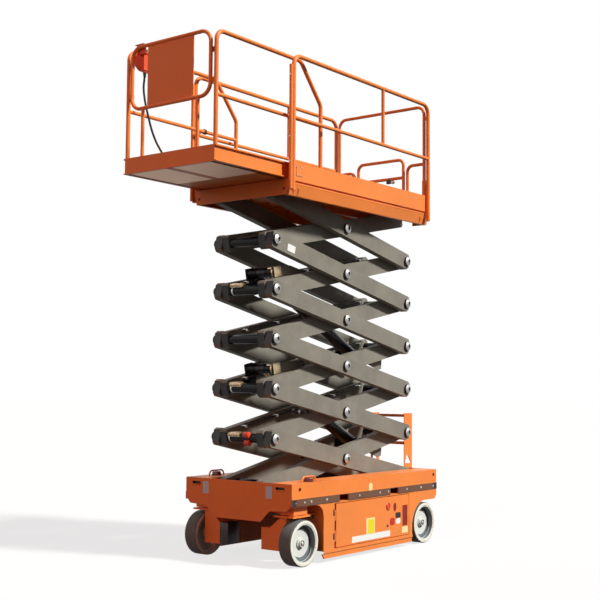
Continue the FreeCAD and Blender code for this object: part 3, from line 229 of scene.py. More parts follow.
def stepped(piece, test, steps):
    """Picks faces, then insets them and pushes them along Z, for each (inset, push) in turn."""
    pick(piece, "FACE", test)
    for inset, push in steps:
        bpy.ops.mesh.inset(thickness=inset)
        if push:
            bpy.ops.mesh.extrude_region_move(TRANSFORM_OT_translate={"value": (0, 0, push)})
    bpy.ops.object.mode_set(mode="OBJECT")


def two_tone(piece, first, second, test):
    """Gives a piece one material, and the faces that pass a test another."""
    piece.data.materials.append(first)
    piece.data.materials.append(second)
    pick(piece, "FACE", test)
    piece.active_material_index = 1
    bpy.ops.object.material_slot_assign()
    bpy.ops.object.mode_set(mode="OBJECT")


def primitive(kind, **settings):
    """A new primitive, with nothing else selected."""
    bpy.ops.object.select_all(action="DESELECT")
    getattr(bpy.ops.mesh, "primitive_%s_add" % kind)(**settings)
    return bpy.context.object


def sized_cube(size):
    """A box of a given size, centred on its own origin."""
    box = primitive("cube", size=1)
    box.scale = size
    bpy.ops.object.transform_apply(location=False, rotation=False, scale=True)
    return box


def only(piece):
    """Makes a piece the one that is selected."""
    bpy.ops.object.select_all(action="DESELECT")
    piece.select_set(True)
    bpy.context.view_layer.objects.active = piece


def joined(pieces, name):
    """Several meshes made one."""
    bpy.ops.object.select_all(action="DESELECT")
    for piece in pieces:
        piece.select_set(True)
    bpy.context.view_layer.objects.active = pieces[0]
    if len(pieces) > 1:
        bpy.ops.object.join()
    pieces[0].name = name
    pieces[0].data.name = name
    return pieces[0]


def copied(piece, place, angles=(0, 0, 0)):
    """A copy of a mesh, moved and turned, its place put into its mesh."""
    bpy.ops.object.select_all(action="DESELECT")
    other = piece.copy()
    other.data = piece.data.copy()
    bpy.context.collection.objects.link(other)
    other.location = place
    other.rotation_euler = angles
    other.select_set(True)
    bpy.context.view_layer.objects.active = other
    bpy.ops.object.transform_apply(location=True, rotation=True, scale=True)
    return other


def smoothed(piece, degrees=32):
    """Shades a piece smooth, apart from its sharp edges."""
    only(piece)
    bpy.ops.object.shade_smooth_by_angle(angle=math.radians(degrees))
    return piece


def rubber(name, colour, dirt, amount):
    """Solid rubber, matt and slightly porous; grit about 6 mm across is pressed into it."""
    material, tree, where = blank_material(name)
    grit = add_node(tree, "ShaderNodeTexNoise", (("Scale", 160.0), ("Detail", 6.0), ("Roughness", 0.7)),
                    (("Vector", where),))
    smear = add_node(tree, "ShaderNodeTexNoise", (("Scale", 14.0), ("Detail", 4.0)),
                     (("Vector", where),))
    share = add_node(tree, "ShaderNodeMapRange", (("From Min", 0.38), ("From Max", 0.62), ("To Max", amount)),
                     (("Value", grit.outputs[0]),))
    more = add_node(tree, "ShaderNodeMapRange", (("From Min", 0.4), ("From Max", 0.75), ("To Max", amount)),
                    (("Value", smear.outputs[0]),))
    both = add_node(tree, "ShaderNodeMath", (("operation", "MAXIMUM"),),
                    ((0, share.outputs[0]), (1, more.outputs[0])))
    shade = add_node(tree, "ShaderNodeMix", (("data_type", "RGBA"), (6, linear(colour)), (7, linear(dirt))),
                     ((0, both.outputs[0]),))
    rough = add_node(tree, "ShaderNodeBump", (("Strength", 0.35), ("Distance", 0.003)),
                     (("Height", grit.outputs[0]),))
    skin = add_node(tree, "ShaderNodeBsdfPrincipled", (("Roughness", 0.82),),
                    (("Base Color", shade.outputs[2]), ("Normal", rough.outputs[0])))
    add_node(tree, "ShaderNodeOutputMaterial", (), (("Surface", skin.outputs[0]),))
    return material


def metal(name, colour, roughness, grain):
    """Bare turned or plated metal; fine turning marks about 2 mm apart, drawn coarse."""
    material, tree, where = blank_material(name)
    marks = add_node(tree, "ShaderNodeTexNoise", (("Scale", grain), ("Detail", 3.0)),
                     (("Vector", where),))
    dull = add_node(tree, "ShaderNodeMapRange", (("To Min", roughness * 0.7), ("To Max", roughness * 1.4)),
                    (("Value", marks.outputs[0]),))
    lines = add_node(tree, "ShaderNodeBump", (("Strength", 0.08), ("Distance", 0.001)),
                     (("Height", marks.outputs[0]),))
    skin = add_node(tree, "ShaderNodeBsdfPrincipled", (("Base Color", linear(colour)), ("Metallic", 1.0)),
                    (("Roughness", dull.outputs[0]), ("Normal", lines.outputs[0])))
    add_node(tree, "ShaderNodeOutputMaterial", (), (("Surface", skin.outputs[0]),))
    return material


# painted light: the tread's base is tinted blue to cancel the reddish front lamp; its grey-brown grit is dirt
tread_rubber = rubber("worn_tread_rubber_tinted_against_lamp", "465A66", "8E8670", 0.55)
side_rubber = rubber("pale_non_marking_rubber", "F4F3E3", "BFB6A4", 0.25)
rim_enamel = enamel("pale_grey_rim_enamel", "E6E9E1", 0.15, roughness=0.5, coat=0.1)
# painted shade: the rim's well, its walls and floor, is painted a darker blue-grey where shade falls
recess_shade_enamel = enamel("rim_recess_painted_shade_enamel", "737E84", 0.15, roughness=0.5, coat=0.1)
# painted shade: near-black steel where shade falls, in the hub collar's recess and on the pin heads' sides
# and bores
shade_dark_steel = enamel("steel_painted_dark_as_shade", "26282B", 0.15, roughness=0.5, coat=0.0)

zinc_plate = metal("zinc_plated_steel", "D2D4D0", 0.42, 300.0)

TYRE_RADIUS = 0.1905
AXLE_X = 0.935
WHEEL_Y = 0.5215
tyre = primitive("cylinder", vertices=72, radius=TYRE_RADIUS, depth=0.127)
pick(tyre, "FACE", end_face)
bpy.ops.mesh.inset(thickness=0.0282)
bpy.ops.mesh.bridge_edge_loops()
bpy.ops.object.mode_set(mode="OBJECT")
bevelled(tyre, "EDGE", 0.011, 4, lambda middle, along: middle.xy.length > 0.18 and abs(along.z) < 0.01)
two_tone(tyre, side_rubber, tread_rubber, lambda centre, normal: centre.xy.length > 0.183)

rim = primitive("cylinder", vertices=72, radius=0.162, depth=0.119)
stepped(rim, top_face, ((0.012, -0.030), (0.004, -0.021), (0.030, 0.005), (0.071, 0.012), (0.004, 0)))
stepped(rim, lambda centre, normal: normal.z < -0.9, ((0.012, 0.052), (0.106, -0.052)))
# the well of the rim takes the darker blue-grey of painted shade
two_tone(rim, rim_enamel, recess_shade_enamel, lambda centre, normal: centre.z > 0.004 and centre.xy.length > 0.114
     and (centre.z < 0.012 or abs(normal.z) < 0.5 and centre.z < 0.05 and centre.xy.length < 0.155))

collar = primitive("cylinder", vertices=48, radius=0.033, depth=0.018, location=(0, 0, 0.0325))
bevelled(collar, "EDGE", 0.003, 2, lambda middle, along: middle.z > 0.008 and abs(along.z) < 0.001)
stepped(collar, lambda centre, normal: normal.z > 0.9 and centre.xy.length < 0.001, ((0.005, -0.013),))
# the collar's recess is painted near black as shade
two_tone(collar, rim_enamel, shade_dark_steel,
         lambda centre, normal: centre.xy.length < 0.0255 and centre.z < 0.0085)
nut = primitive("cylinder", vertices=6, radius=0.017, depth=0.016, location=(0, 0, 0.0345))
stepped(nut, top_face, ((0.004, 0.004), (0.004, 0.002)))
nut.data.materials.append(zinc_plate)
hub = joined([collar, nut], "hub")
bpy.ops.object.transform_apply(location=True, rotation=True, scale=True)

for corner, x, side in (("front_left", AXLE_X, 1), ("front_right", AXLE_X, -1),
                        ("rear_left", -AXLE_X, 1), ("rear_right", -AXLE_X, -1)):
    for kind, source in (("tyre", tyre), ("rim", rim), ("hub", hub)):
        place = (x - SHIFT, side * WHEEL_Y, TYRE_RADIUS)
        piece = copied(source, place, (math.radians(-90 * side), 0, 0))
        piece.name = piece.data.name = "%s_wheel_%s" % (corner, kind)
        smoothed(piece)
        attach(piece, corner + "_wheel")
        if kind != "hub":
            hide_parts("%s_%s" % (corner, kind))
for source in (tyre, rim, hub):
    bpy.data.objects.remove(source)


# Scissor arms: rolled box tube in a satin taupe enamel, with a black moulded cap pressed in each
# end. The inner arms are joined by black cross tubes. Each pin ends in a turned steel head.
def arm_enamel(name, limits):
    """Satin taupe enamel outside a span of |y|, black enamel inside it."""
    material, tree, where = blank_material(name)
    apart = add_node(tree, "ShaderNodeSeparateXYZ", (), ((0, where),))
    across = add_node(tree, "ShaderNodeMath", (("operation", "ABSOLUTE"),), ((0, apart.outputs["Y"]),))
    outside = add_node(tree, "ShaderNodeMath", (("operation", "GREATER_THAN"), (1, limits)),
                       ((0, across.outputs[0]),))
    # blotches about 0.3 m wide and scuffs about 10 mm wide, drawn coarse so that they show
    blotch = add_node(tree, "ShaderNodeTexNoise", (("Scale", 3.5), ("Detail", 6.0), ("Roughness", 0.65)),
                      (("Vector", where),))
    scuff = add_node(tree, "ShaderNodeTexNoise", (("Scale", 90.0), ("Detail", 4.0)),
                     (("Vector", where),))
    faded = add_node(tree, "ShaderNodeMapRange", (("From Min", 0.35), ("From Max", 0.65)),
                     (("Value", blotch.outputs[0]),))
    taupe = add_node(tree, "ShaderNodeMix",
                     (("data_type", "RGBA"), (6, linear("8E8A7E")), (7, linear("7E7A70"))),
                     ((0, faded.outputs[0]),))
    both = add_node(tree, "ShaderNodeMix", (("data_type", "RGBA"), (6, linear("15181B"))),
                    ((0, outside.outputs[0]), (7, taupe.outputs[2])))
    dull = add_node(tree, "ShaderNodeMapRange", (("To Min", 0.18), ("To Max", 0.34)),
                    (("Value", scuff.outputs[0]),))
    # the tubes between the arms keep their gloss, the arms are satin
    satin = add_node(tree, "ShaderNodeMath", (("operation", "MULTIPLY_ADD"), (1, 0.27)),
                     ((0, outside.outputs[0]), (2, dull.outputs[0])))
    peel = add_node(tree, "ShaderNodeBump", (("Strength", 0.05), ("Distance", 0.002)),
                    (("Height", scuff.outputs[0]),))
    skin = add_node(tree, "ShaderNodeBsdfPrincipled", (("Specular IOR Level", 0.22),),
                    (("Base Color", both.outputs[2]), ("Roughness", satin.outputs[0]),
                     ("Normal", peel.outputs[0])))
    add_node(tree, "ShaderNodeOutputMaterial", (), (("Surface", skin.outputs[0]),))
    return material


def moulded(name, colour, roughness):
    """Injection-moulded plastic with a fine etched grain about 3 mm across, drawn coarse."""
    material, tree, where = blank_material(name)
    etch = add_node(tree, "ShaderNodeTexNoise", (("Scale", 320.0), ("Detail", 2.0)),
                    (("Vector", where),))
    dull = add_node(tree, "ShaderNodeMapRange", (("To Min", roughness - 0.08), ("To Max", roughness + 0.1)),
                    (("Value", etch.outputs[0]),))
    grain = add_node(tree, "ShaderNodeBump", (("Strength", 0.08), ("Distance", 0.001)),
                     (("Height", etch.outputs[0]),))
    skin = add_node(tree, "ShaderNodeBsdfPrincipled", (("Base Color", linear(colour)),),
                    (("Roughness", dull.outputs[0]), ("Normal", grain.outputs[0])))
    add_node(tree, "ShaderNodeOutputMaterial", (), (("Surface", skin.outputs[0]),))
    return material


PITCH = 2.090
REST = math.radians(11.55)
RISE = PITCH * math.sin(REST)
PIN_X = 1.015 - SHIFT
CENTRE_X = PIN_X - PITCH / 2 * math.cos(REST)
BASE_Z = 0.615
inner_enamel = arm_enamel("taupe_arm_enamel_with_black_tubes", 0.1678)
outer_enamel = arm_enamel("taupe_arm_enamel", 0.2495)
coat_nodes(inner_enamel, ["inner_arms_%d" % level for level in range(1, 7)])
coat_nodes(outer_enamel, ["outer_arms_%d" % level for level in range(1, 7)])
cap_plastic = moulded("black_moulded_cap", "17191C", 0.5)
pin_steel = metal("turned_pin_steel", "C9C9C6", 0.28, 420.0)


def end_cap(high):
    """A moulded cap that fills an arm's end, with a raised middle."""
    cap = sized_cube((0.004, 0.076, high))
    bevelled(cap, "EDGE", 0.007, 3, lambda middle, along: abs(along.x) > 0.003)
    pick(cap, "FACE", lambda centre, normal: abs(normal.x) > 0.9)
    bpy.ops.mesh.inset(thickness=0.006)
    bpy.ops.mesh.extrude_region_move(TRANSFORM_OT_translate={"value": (0, 0, 0)})
    bpy.ops.transform.resize(value=(0.55, 1, 1))
    bpy.ops.object.mode_set(mode="OBJECT")
    cap.data.materials.append(cap_plastic)
    return cap


cap = end_cap(0.112)
low_cap = end_cap(0.080)

head = primitive("cylinder", vertices=40, radius=0.0436, depth=0.0236, rotation=(math.radians(-90), 0, 0))
bpy.ops.object.transform_apply(location=False, rotation=True, scale=False)
bevelled(head, "FACE", 0.003, 2, lambda centre, normal: normal.y > 0.9)
pick(head, "FACE", lambda centre, normal: normal.y > 0.9)
bpy.ops.mesh.inset(thickness=0.026)
bpy.ops.mesh.extrude_region_move(TRANSFORM_OT_translate={"value": (0, -0.004, 0)})
bpy.ops.object.mode_set(mode="OBJECT")
# the head's side and the bore in its face are painted near black as shade
two_tone(head, pin_steel, shade_dark_steel, lambda centre, normal: abs(normal.y) < 0.5 or centre.xz.length < 0.012)


def on_arm(piece, level, lean, name, body):
    """Turns a piece made in an arm's own frame to its place, lean is 1 on inner arms, -1 on outer."""
    only(piece)
    piece.location = (CENTRE_X, 0, BASE_Z + (level - 0.5) * RISE)
    piece.rotation_euler = (0, lean * REST, 0)
    bpy.ops.object.transform_apply(location=True, rotation=True, scale=True)
    piece.name = piece.data.name = name
    smoothed(piece)
    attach(piece, body)


for level in range(1, 7):
    for kind, lean, middle in (("inner", 1, 0.204), ("outer", -1, 0.286)):
        body = "%s_arms_%d" % (kind, level)
        tapered = {"inner": -1, "outer": 1}[kind] if level == 6 else 0
        caps = [copied(low_cap if end == tapered else cap,
                       (end * (PITCH / 2 + 0.0435), side * middle, -0.0215 if end == tapered else 0))
                for end in (1, -1) for side in (1, -1)]
        on_arm(joined(caps, body + "_caps"), level, lean, body + "_caps", body)
        if kind == "outer":
            heads = [copied(head, (end * PITCH / 2, side * 0.3330, 0), (0, 0, 0 if side > 0 else math.pi))
                     for end in (1, 0, -1) for side in (1, -1) if level > 1 or end > -1]
            on_arm(joined(heads, body + "_pin_heads"), level, lean, body + "_pin_heads", body)
for source in (cap, low_cap, head):
    bpy.data.objects.remove(source)


# Lift cylinders: honed steel tubes in black enamel with a screwed gland ring, and hard-chromed
# rods whose eyes sit in a black drum. A brass valve is bolted on the drum's near end, and a brass
# port feeds each barrel at its foot.
black_enamel = enamel("black_satin_enamel", "1C1E22", 0.1, roughness=0.32, coat=0.2)
hard_chrome = metal("hard_chromed_rod", "D8D8D6", 0.14, 60.0)
coat_nodes(black_enamel, ("lower_lift_barrel", "upper_lift_barrel", "scissor_mounts", "tie_rod",
                          "power_blocks"))
coat_nodes(hard_chrome, ("lower_lift_rod", "upper_lift_rod"))
brass = metal("turned_brass", "D9C39A", 0.36, 300.0)
hose_rubber = rubber("black_hose_rubber", "141518", "2A2B2E", 0.25)
clip_plastic = moulded("orange_red_moulded_clip", "E2481E", 0.38)


def placed(piece, place, angles=(0, 0, 0)):
    """Moves and turns a piece and puts its place into its mesh."""
    only(piece)
    piece.location = place
    piece.rotation_euler = angles
    bpy.ops.object.transform_apply(location=True, rotation=True, scale=True)
    return piece


def turned_drum(radius, length, edge, material):
    """A turned drum along Y with rounded rims, centred on its own origin."""
    piece = primitive("cylinder", vertices=40, radius=radius, depth=length, rotation=(math.radians(90), 0, 0))
    bpy.ops.object.transform_apply(location=False, rotation=True, scale=False)
    bevelled(piece, "FACE", edge, 2, lambda centre, normal: abs(normal.y) > 0.9)
    piece.data.materials.append(material)
    return piece


def rounded_block(size, edge, material):
    """A machined or moulded block with all its edges rounded, centred on its own origin."""
    piece = sized_cube(size)
    bevelled(piece, "EDGE", edge, 2, lambda middle, along: True)
    piece.data.materials.append(material)
    return piece


def bolt_head(radius, material):
    """A hexagon head on a washer, standing on its own origin along +Z."""
    washer = primitive("cylinder", vertices=20, radius=radius * 1.35, depth=radius * 0.25,
                       location=(0, 0, radius * 0.125))
    head = primitive("cylinder", vertices=6, radius=radius, depth=radius * 0.6,
                     location=(0, 0, radius * 0.5))
    stepped(head, top_face, ((radius * 0.18, radius * 0.1),))
    piece = joined([washer, head], "bolt_head")
    bpy.ops.object.transform_apply(location=True, rotation=True, scale=True)
    piece.data.materials.append(material)
    return piece


FACING_LEFT = (math.radians(-90), 0, 0)
FACING_RIGHT = (math.radians(90), 0, 0)
FACING_FRONT = (0, math.radians(90), 0)
ALONG_X = (0, 0, math.radians(90))

# places in the arm's own frame, where s runs along it and t is square to it; a gusset lies against
# the arm's inner face
EYE_S = 0.792
EYE_T = 0.123
GUSSET_Y = 0.1645
HOSE_T = 0.056
brass_bolt = bolt_head(0.0032, zinc_plate)
for which, level, arms in (("lower", 3, "inner_arms_3"), ("upper", 5, "inner_arms_5")):
    sleeve = turned_drum(0.0440, 0.0900, 0.003, black_enamel)
    on_arm(placed(sleeve, (EYE_S, 0, EYE_T)), level, 1, which + "_rod_eye", which + "_rod")
    flange = turned_drum(0.0500, 0.0140, 0.002, brass)
    body = rounded_block((0.056, 0.045, 0.060), 0.004, brass)
    port = turned_drum(0.0120, 0.0200, 0.002, zinc_plate)
    pieces = [placed(flange, (EYE_S, 0.132, EYE_T)), placed(body, (EYE_S + 0.004, 0.0985, EYE_T + 0.012)),
              placed(port, (EYE_S + 0.014, 0.148, EYE_T + 0.008))]
    # the flange's outer half is bolted on from outside, through the bracket plate
    cover = rounded_block((0.098, 0.0030, 0.088), 0.0012, brass)
    pieces.append(placed(cover, (EYE_S, 0.1637, EYE_T + 0.001)))
    for step_s in (-0.038, 0.038):
        for step_t in (-0.033, 0, 0.033):
            place = (EYE_S + step_s, 0.1651, EYE_T + step_t)
            pieces.append(copied(brass_bolt, place, FACING_LEFT))
    on_arm(joined(pieces, which + "_lift_valve"), level, 1, which + "_lift_valve", arms)
bpy.data.objects.remove(brass_bolt)

# Gussets: taupe plates welded inside the left and right arms, above each rod eye and below each
# barrel foot. Between them two black hoses are clipped along the right arm of each inner pair.
gusset_enamel = arm_enamel("taupe_gusset_enamel", 0.0)


def gusset(length, depth, share, shift):
    """A plate whose free edge, at +Z, is a share of its length and is moved along by a shift."""
    plate = sized_cube((length, 0.0044, depth))
    pick(plate, "FACE", top_face)
    bpy.ops.transform.resize(value=(share, 1, 1))
    bpy.ops.transform.translate(value=(shift, 0, 0))
    bpy.ops.object.mode_set(mode="OBJECT")
    bevelled(plate, "EDGE", 0.008, 2, lambda middle, along: abs(along.y) > 0.004)
    plate.data.materials.append(gusset_enamel)
    return plate


for level in (1, 3, 5):
    arms = "inner_arms_%d" % level
    plates = []
    for side in (1, -1):
        if level > 1:
            plates.append(placed(gusset(0.342, 0.086, 0.36, 0.110), (0.571, side * GUSSET_Y, 0.117)))
        if level < 5:
            low_plate = gusset(0.280, 0.105, 0.20, -0.080)
            plates.append(placed(low_plate, (-0.680, side * GUSSET_Y, -0.127), (math.pi, 0, 0)))
    on_arm(joined(plates, arms + "_gussets"), level, 1, arms + "_gussets", arms)
for level in (2, 3, 4, 5):
    arms = "inner_arms_%d" % level
    hoses = []
    for y in (-0.146, -0.126):
        hose = primitive("cylinder", vertices=16, radius=0.0075, depth=1.80, rotation=FACING_FRONT)
        bpy.ops.object.transform_apply(location=False, rotation=True, scale=False)
        bevelled(hose, "FACE", 0.0020, 2, lambda centre, normal: abs(normal.x) > 0.9)
        hose.data.materials.append(hose_rubber)
        hoses.append(placed(hose, (0, y, HOSE_T)))
    for spot in (-0.88, -0.44, 0, 0.44, 0.88):
        hoses.append(placed(rounded_block((0.022, 0.058, 0.022), 0.003, zinc_plate), (spot, -0.139, HOSE_T)))
    on_arm(joined(hoses, arms + "_hoses"), level, 1, arms + "_hoses", arms)

# Valve blocks on the front cross tubes: a brass block with drilled ports, two hexagon fittings and
# a chromed plug in front, strapped to the tube; y is the block's middle, t its height over the axis.
for level, y, t in ((2, -0.092, 0.032), (3, -0.080, 0.038), (5, -0.080, 0.050)):
    arms = "inner_arms_%d" % level
    block = rounded_block((0.052, 0.128, 0.034), 0.004, brass)
    pieces = [placed(block, (PITCH / 2 + 0.012, y, t))]
    for step, radius in ((-0.040, 0.010), (0.004, 0.013), (0.042, 0.009)):
        fitting = turned_drum(radius, 0.024, 0.002, zinc_plate if step == 0.004 else brass)
        pieces.append(placed(fitting, (PITCH / 2 + 0.048, y + step, t), ALONG_X))
        bore = turned_drum(radius * 0.55, 0.004, 0.001, cap_plastic)
        pieces.append(placed(bore, (PITCH / 2 + 0.0605, y + step, t), ALONG_X))
    strap = turned_drum(0.0418, 0.012, 0.001, zinc_plate)
    pieces.append(placed(strap, (PITCH / 2, y - 0.052, 0)))
    on_arm(joined(pieces, arms + "_valve"), level, 1, arms + "_valve", arms)

# Lock clip beside the lowest valve block: two moulded lobes on the cross tube.
lobes = []
for lean in (1, -1):
    lobe = turned_drum(0.026, 0.060, 0.008, clip_plastic)
    lobes.append(placed(lobe, (PITCH / 2 + 0.034, 0.055, lean * 0.034)))
web = rounded_block((0.030, 0.050, 0.050), 0.006, clip_plastic)
lobes.append(placed(web, (PITCH / 2 + 0.022, 0.055, 0)))
on_arm(joined(lobes, "lock_clip"), 2, 1, "lock_clip", "inner_arms_2")

# Hose guide on the second pair of inner arms: a short black roller with a steel end ring.
guide = turned_drum(0.0220, 0.080, 0.003, black_enamel)
ring = turned_drum(0.0235, 0.012, 0.002, zinc_plate)
foot = rounded_block((0.020, 0.010, 0.040), 0.002, black_enamel)
on_arm(joined([placed(guide, (0.448, 0.112, 0.0995)), placed(ring, (0.448, 0.158, 0.0995)),
               placed(foot, (0.448, 0.160, 0.085))], "hose_guide"), 2, 1, "hose_guide", "inner_arms_2")

# Barrel glands: a knurled ring with a wiper at each barrel's mouth, in the barrel's own line.
# The line runs from the foot pin on one arm to the rod's eye two levels up.
for which, level in (("lower", 1), ("upper", 3)):
    centre = Vector((CENTRE_X, 0, BASE_Z + (level - 0.5) * RISE))
    along = Vector((math.cos(REST), 0, -math.sin(REST)))
    square = Vector((math.sin(REST), 0, math.cos(REST)))
    foot = centre + along * -0.560
    eye_place = centre + Vector((0, 0, 2 * RISE)) + along * EYE_S + square * EYE_T
    line = (eye_place - foot).normalized()
    tilt = math.atan2(line.z, line.x)
    gland = primitive("cylinder", vertices=48, radius=0.0590, depth=0.030)
    bevelled(gland, "FACE", 0.003, 2, end_face)
    stepped(gland, top_face, ((0.0215, 0.006), (0.003, 0)))
    gland.data.materials.append(zinc_plate)
    port = primitive("cylinder", vertices=24, radius=0.0120, depth=0.030)
    stepped(port, top_face, ((0.003, 0.008),))
    port.data.materials.append(brass)
    upright = Vector((-line.z, 0, line.x))
    pieces = [placed(gland, foot + line * 1.274, (0, math.pi / 2 - tilt, 0)),
              placed(port, foot + line * 0.120 + upright * 0.066, (0, -tilt, 0))]
    piece = joined(pieces, which + "_gland")
    smoothed(piece)
    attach(piece, which + "_barrel")


def label(name, place, wide, high, facing, material, body, corner=0.006):
    """A blank vinyl label, a thin sheet with rounded corners, stuck on a face."""
    piece = sized_cube((wide, high, 0.0010))
    bevelled(piece, "EDGE", corner, 3, lambda middle, along: abs(along.z) > 0.0005)
    piece.data.materials.append(material)
    placed(piece, place, facing)
    piece.name = piece.data.name = name
    if body:
        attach(piece, body)
    return piece


white_vinyl = moulded("white_vinyl", "F4F5F0", 0.3)
arm_label = label("arm_label", (0.827, 0.3226, -0.015), 0.105, 0.062, FACING_LEFT, white_vinyl, None)
on_arm(arm_label, 5, -1, "arm_label", "outer_arms_5")


# Rub strakes: a folded strip bolted along each side, in a dark grey-brown satin enamel. It is cut
# away over the two fork pockets, down to a thin web, and has black end pieces and light bolts.
strake_enamel = enamel("dark_strake_enamel", "6E4A36", 0.2, roughness=0.5, coat=0.0)
STRAKE_BOTTOM = 0.495
STRAKE_TOP = 0.555
POCKET_TOP = 0.550
strips = []
for side in (1, -1):
    for rear, front, bottom, top in (
            (-1.485, -0.804, STRAKE_BOTTOM, STRAKE_TOP), (-0.672, -0.013, STRAKE_BOTTOM, STRAKE_TOP),
            (0.119, 0.776, STRAKE_BOTTOM, STRAKE_TOP), (-0.804, -0.672, POCKET_TOP, STRAKE_TOP),
            (-0.013, 0.119, POCKET_TOP, STRAKE_TOP)):
        strip = rounded_block((front - rear, 0.0052, top - bottom), 0.0014, strake_enamel)
        strips.append(placed(strip, ((rear + front) / 2, side * 0.5880, (bottom + top) / 2)))
strakes = joined(strips, "side_strakes")
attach(strakes, "chassis")
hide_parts("rub_strakes")
side_bolt = bolt_head(0.0070, zinc_plate)
bolts = []
for side, facing in ((1, FACING_LEFT), (-1, FACING_RIGHT)):
    for x in (0.727, 0.608, 0.517, 0.300, -0.180, -0.500, -0.640, -0.950, -1.200, -1.420):
        bolt = copied(side_bolt, (0, 0, 0))
        bolt.scale = (1, 1, 0.45)
        bpy.ops.object.transform_apply(location=False, rotation=False, scale=True)
        bolts.append(placed(bolt, (x, side * 0.5900, 0.5250), facing))
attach(joined(bolts, "strake_bolts"), "chassis")
ends = []
for side in (1, -1):
    for x in (0.744, -1.455):
        end = rounded_block((0.052, 0.0062, 0.056), 0.0025, cap_plastic)
        ends.append(placed(end, (x, side * 0.5895, 0.525)))
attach(joined(ends, "strake_ends"), "chassis")

# Side doors: a row of blank labels and the controls on the left door, which are an emergency stop
# ring, an oval recess for its pull and a vent slot, both painted dark red inside as shade. Black hinges and a
# latch.
yellow_vinyl = moulded("yellow_vinyl", "F2DC1E", 0.3)
# painted light: the front labels are tinted pale blue-grey to cancel the reddish front lamp
lamp_offset_label_vinyl = moulded("label_vinyl_tinted_blue_against_lamp", "CBDCE8", 0.3)
cream_vinyl = moulded("cream_vinyl", "F6E6A8", 0.3)
red_plastic = moulded("red_moulded_plastic", "C4281A", 0.3)
# painted shade: a dark red that stands for the shade inside recesses, slots, holes and the gap round a hatch
painted_shade_red = moulded("dark_red_painted_shade", "82190C", 0.6)
# name, x and z of the middle, width, height, material, corner
for name, x, z, wide, high, material, corner in (
        ("yellow_label_border", -0.3580, 0.2450, 0.136, 0.140, cream_vinyl, 0.006),
        ("long_label", -0.3715, 0.1500, 0.600, 0.052, white_vinyl, 0.006),
        ("small_label", -0.9220, 0.1590, 0.098, 0.058, cream_vinyl, 0.006),
        ("round_label", -0.8070, 0.2460, 0.076, 0.050, white_vinyl, 0.024),
        ("black_label", -0.8050, 0.3000, 0.086, 0.050, cap_plastic, 0.012),
        ("red_label", -0.7090, 0.2500, 0.076, 0.066, red_plastic, 0.016)):
    label(name, (x, 0.5854, z), wide, high, FACING_LEFT, material, "left_door", corner)
label("yellow_label", (-0.3640, 0.5860, 0.2410), 0.098, 0.122, FACING_LEFT, yellow_vinyl, "left_door")
label("skin_label", (-0.3590, 0.5854, 0.5850), 0.056, 0.070, FACING_LEFT, cream_vinyl, "chassis", 0.020)
for name, y in (("front_label_left", 0.3450), ("front_label_right", -0.3540)):
    label(name, (0.7764, y, 0.6020), 0.102, 0.066, FACING_FRONT, lamp_offset_label_vinyl, "chassis")

STOP_X = -0.640
STOP_Z = 0.390
stop_ring = primitive("torus", major_radius=0.0310, minor_radius=0.0050, major_segments=40, minor_segments=10)
stop_ring.data.materials.append(red_plastic)
button = primitive("cylinder", vertices=40, radius=0.0240, depth=0.0060)
bevelled(button, "FACE", 0.0025, 3, top_face)
button.data.materials.append(clip_plastic)
# the pull's oval recess is painted dark red inside as shade, within a red rim
pull = primitive("cylinder", vertices=40, radius=0.0300, depth=0.0040)
pull.scale = (0.72, 1.30, 1)
bpy.ops.object.transform_apply(location=False, rotation=False, scale=True)
stepped(pull, top_face, ((0.0040, -0.0025),))
two_tone(pull, painted_shade_red, red_plastic, lambda centre, normal: centre.z > 0.0010)
# the vent slot is painted dark red inside as shade, within an orange frame
slot = sized_cube((0.090, 0.196, 0.0040))
stepped(slot, top_face, ((0.0050, -0.0030),))
two_tone(slot, orange_enamel, painted_shade_red, lambda centre, normal:
         abs(centre.x) < 0.0405 and abs(centre.y) < 0.0935 and centre.z > -0.0015)
latch = primitive("cylinder", vertices=32, radius=0.0110, depth=0.0050)
stepped(latch, top_face, ((0.0030, -0.0015),))
latch.data.materials.append(cap_plastic)
for piece, name, x, y, z in (
        (stop_ring, "stop_ring", STOP_X, 0.5850, STOP_Z),
        (button, "stop_button", STOP_X, 0.5865, STOP_Z),
        (pull, "stop_recess", -0.750, 0.5860, 0.378),
        (slot, "vent_slot", -0.918, 0.5862, 0.291),
        (latch, "door_latch", -0.629, 0.5865, 0.219)):
    placed(piece, (x, y, z), FACING_LEFT)
    piece.name = piece.data.name = name
    smoothed(piece)
    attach(piece, "left_door")

hinges = []
for side in (1, -1):
    for z in (0.408, 0.207):
        leaf = rounded_block((0.014, 0.0050, 0.052), 0.0015, cap_plastic)
        hinges.append(placed(leaf, (0.197, side * 0.5865, z)))
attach(joined(hinges, "door_hinge_leaves"), "chassis")

# Handholes in the front plate: a folded lower lip in each, and behind it a black cup, painted shade that
# darkens the inside of the hole.
lips = []
for side in (1, -1):
    lip = rounded_block((0.024, 0.094, 0.003), 0.0012, orange_enamel)
    lips.append(placed(lip, (0.7870, side * 0.4625, 0.6270)))
    cup = rounded_block((0.026, 0.096, 0.023), 0.0030, cap_plastic)
    pick(cup, "FACE", lambda centre, normal: normal.x > 0.9)
    bpy.ops.mesh.inset(thickness=0.0025)
    bpy.ops.mesh.extrude_region_move(TRANSFORM_OT_translate={"value": (-0.018, 0, 0)})
    bpy.ops.object.mode_set(mode="OBJECT")
    lips.append(placed(cup, (0.7565, side * 0.4625, 0.6390)))
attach(joined(lips, "handhole_lips"), "chassis")

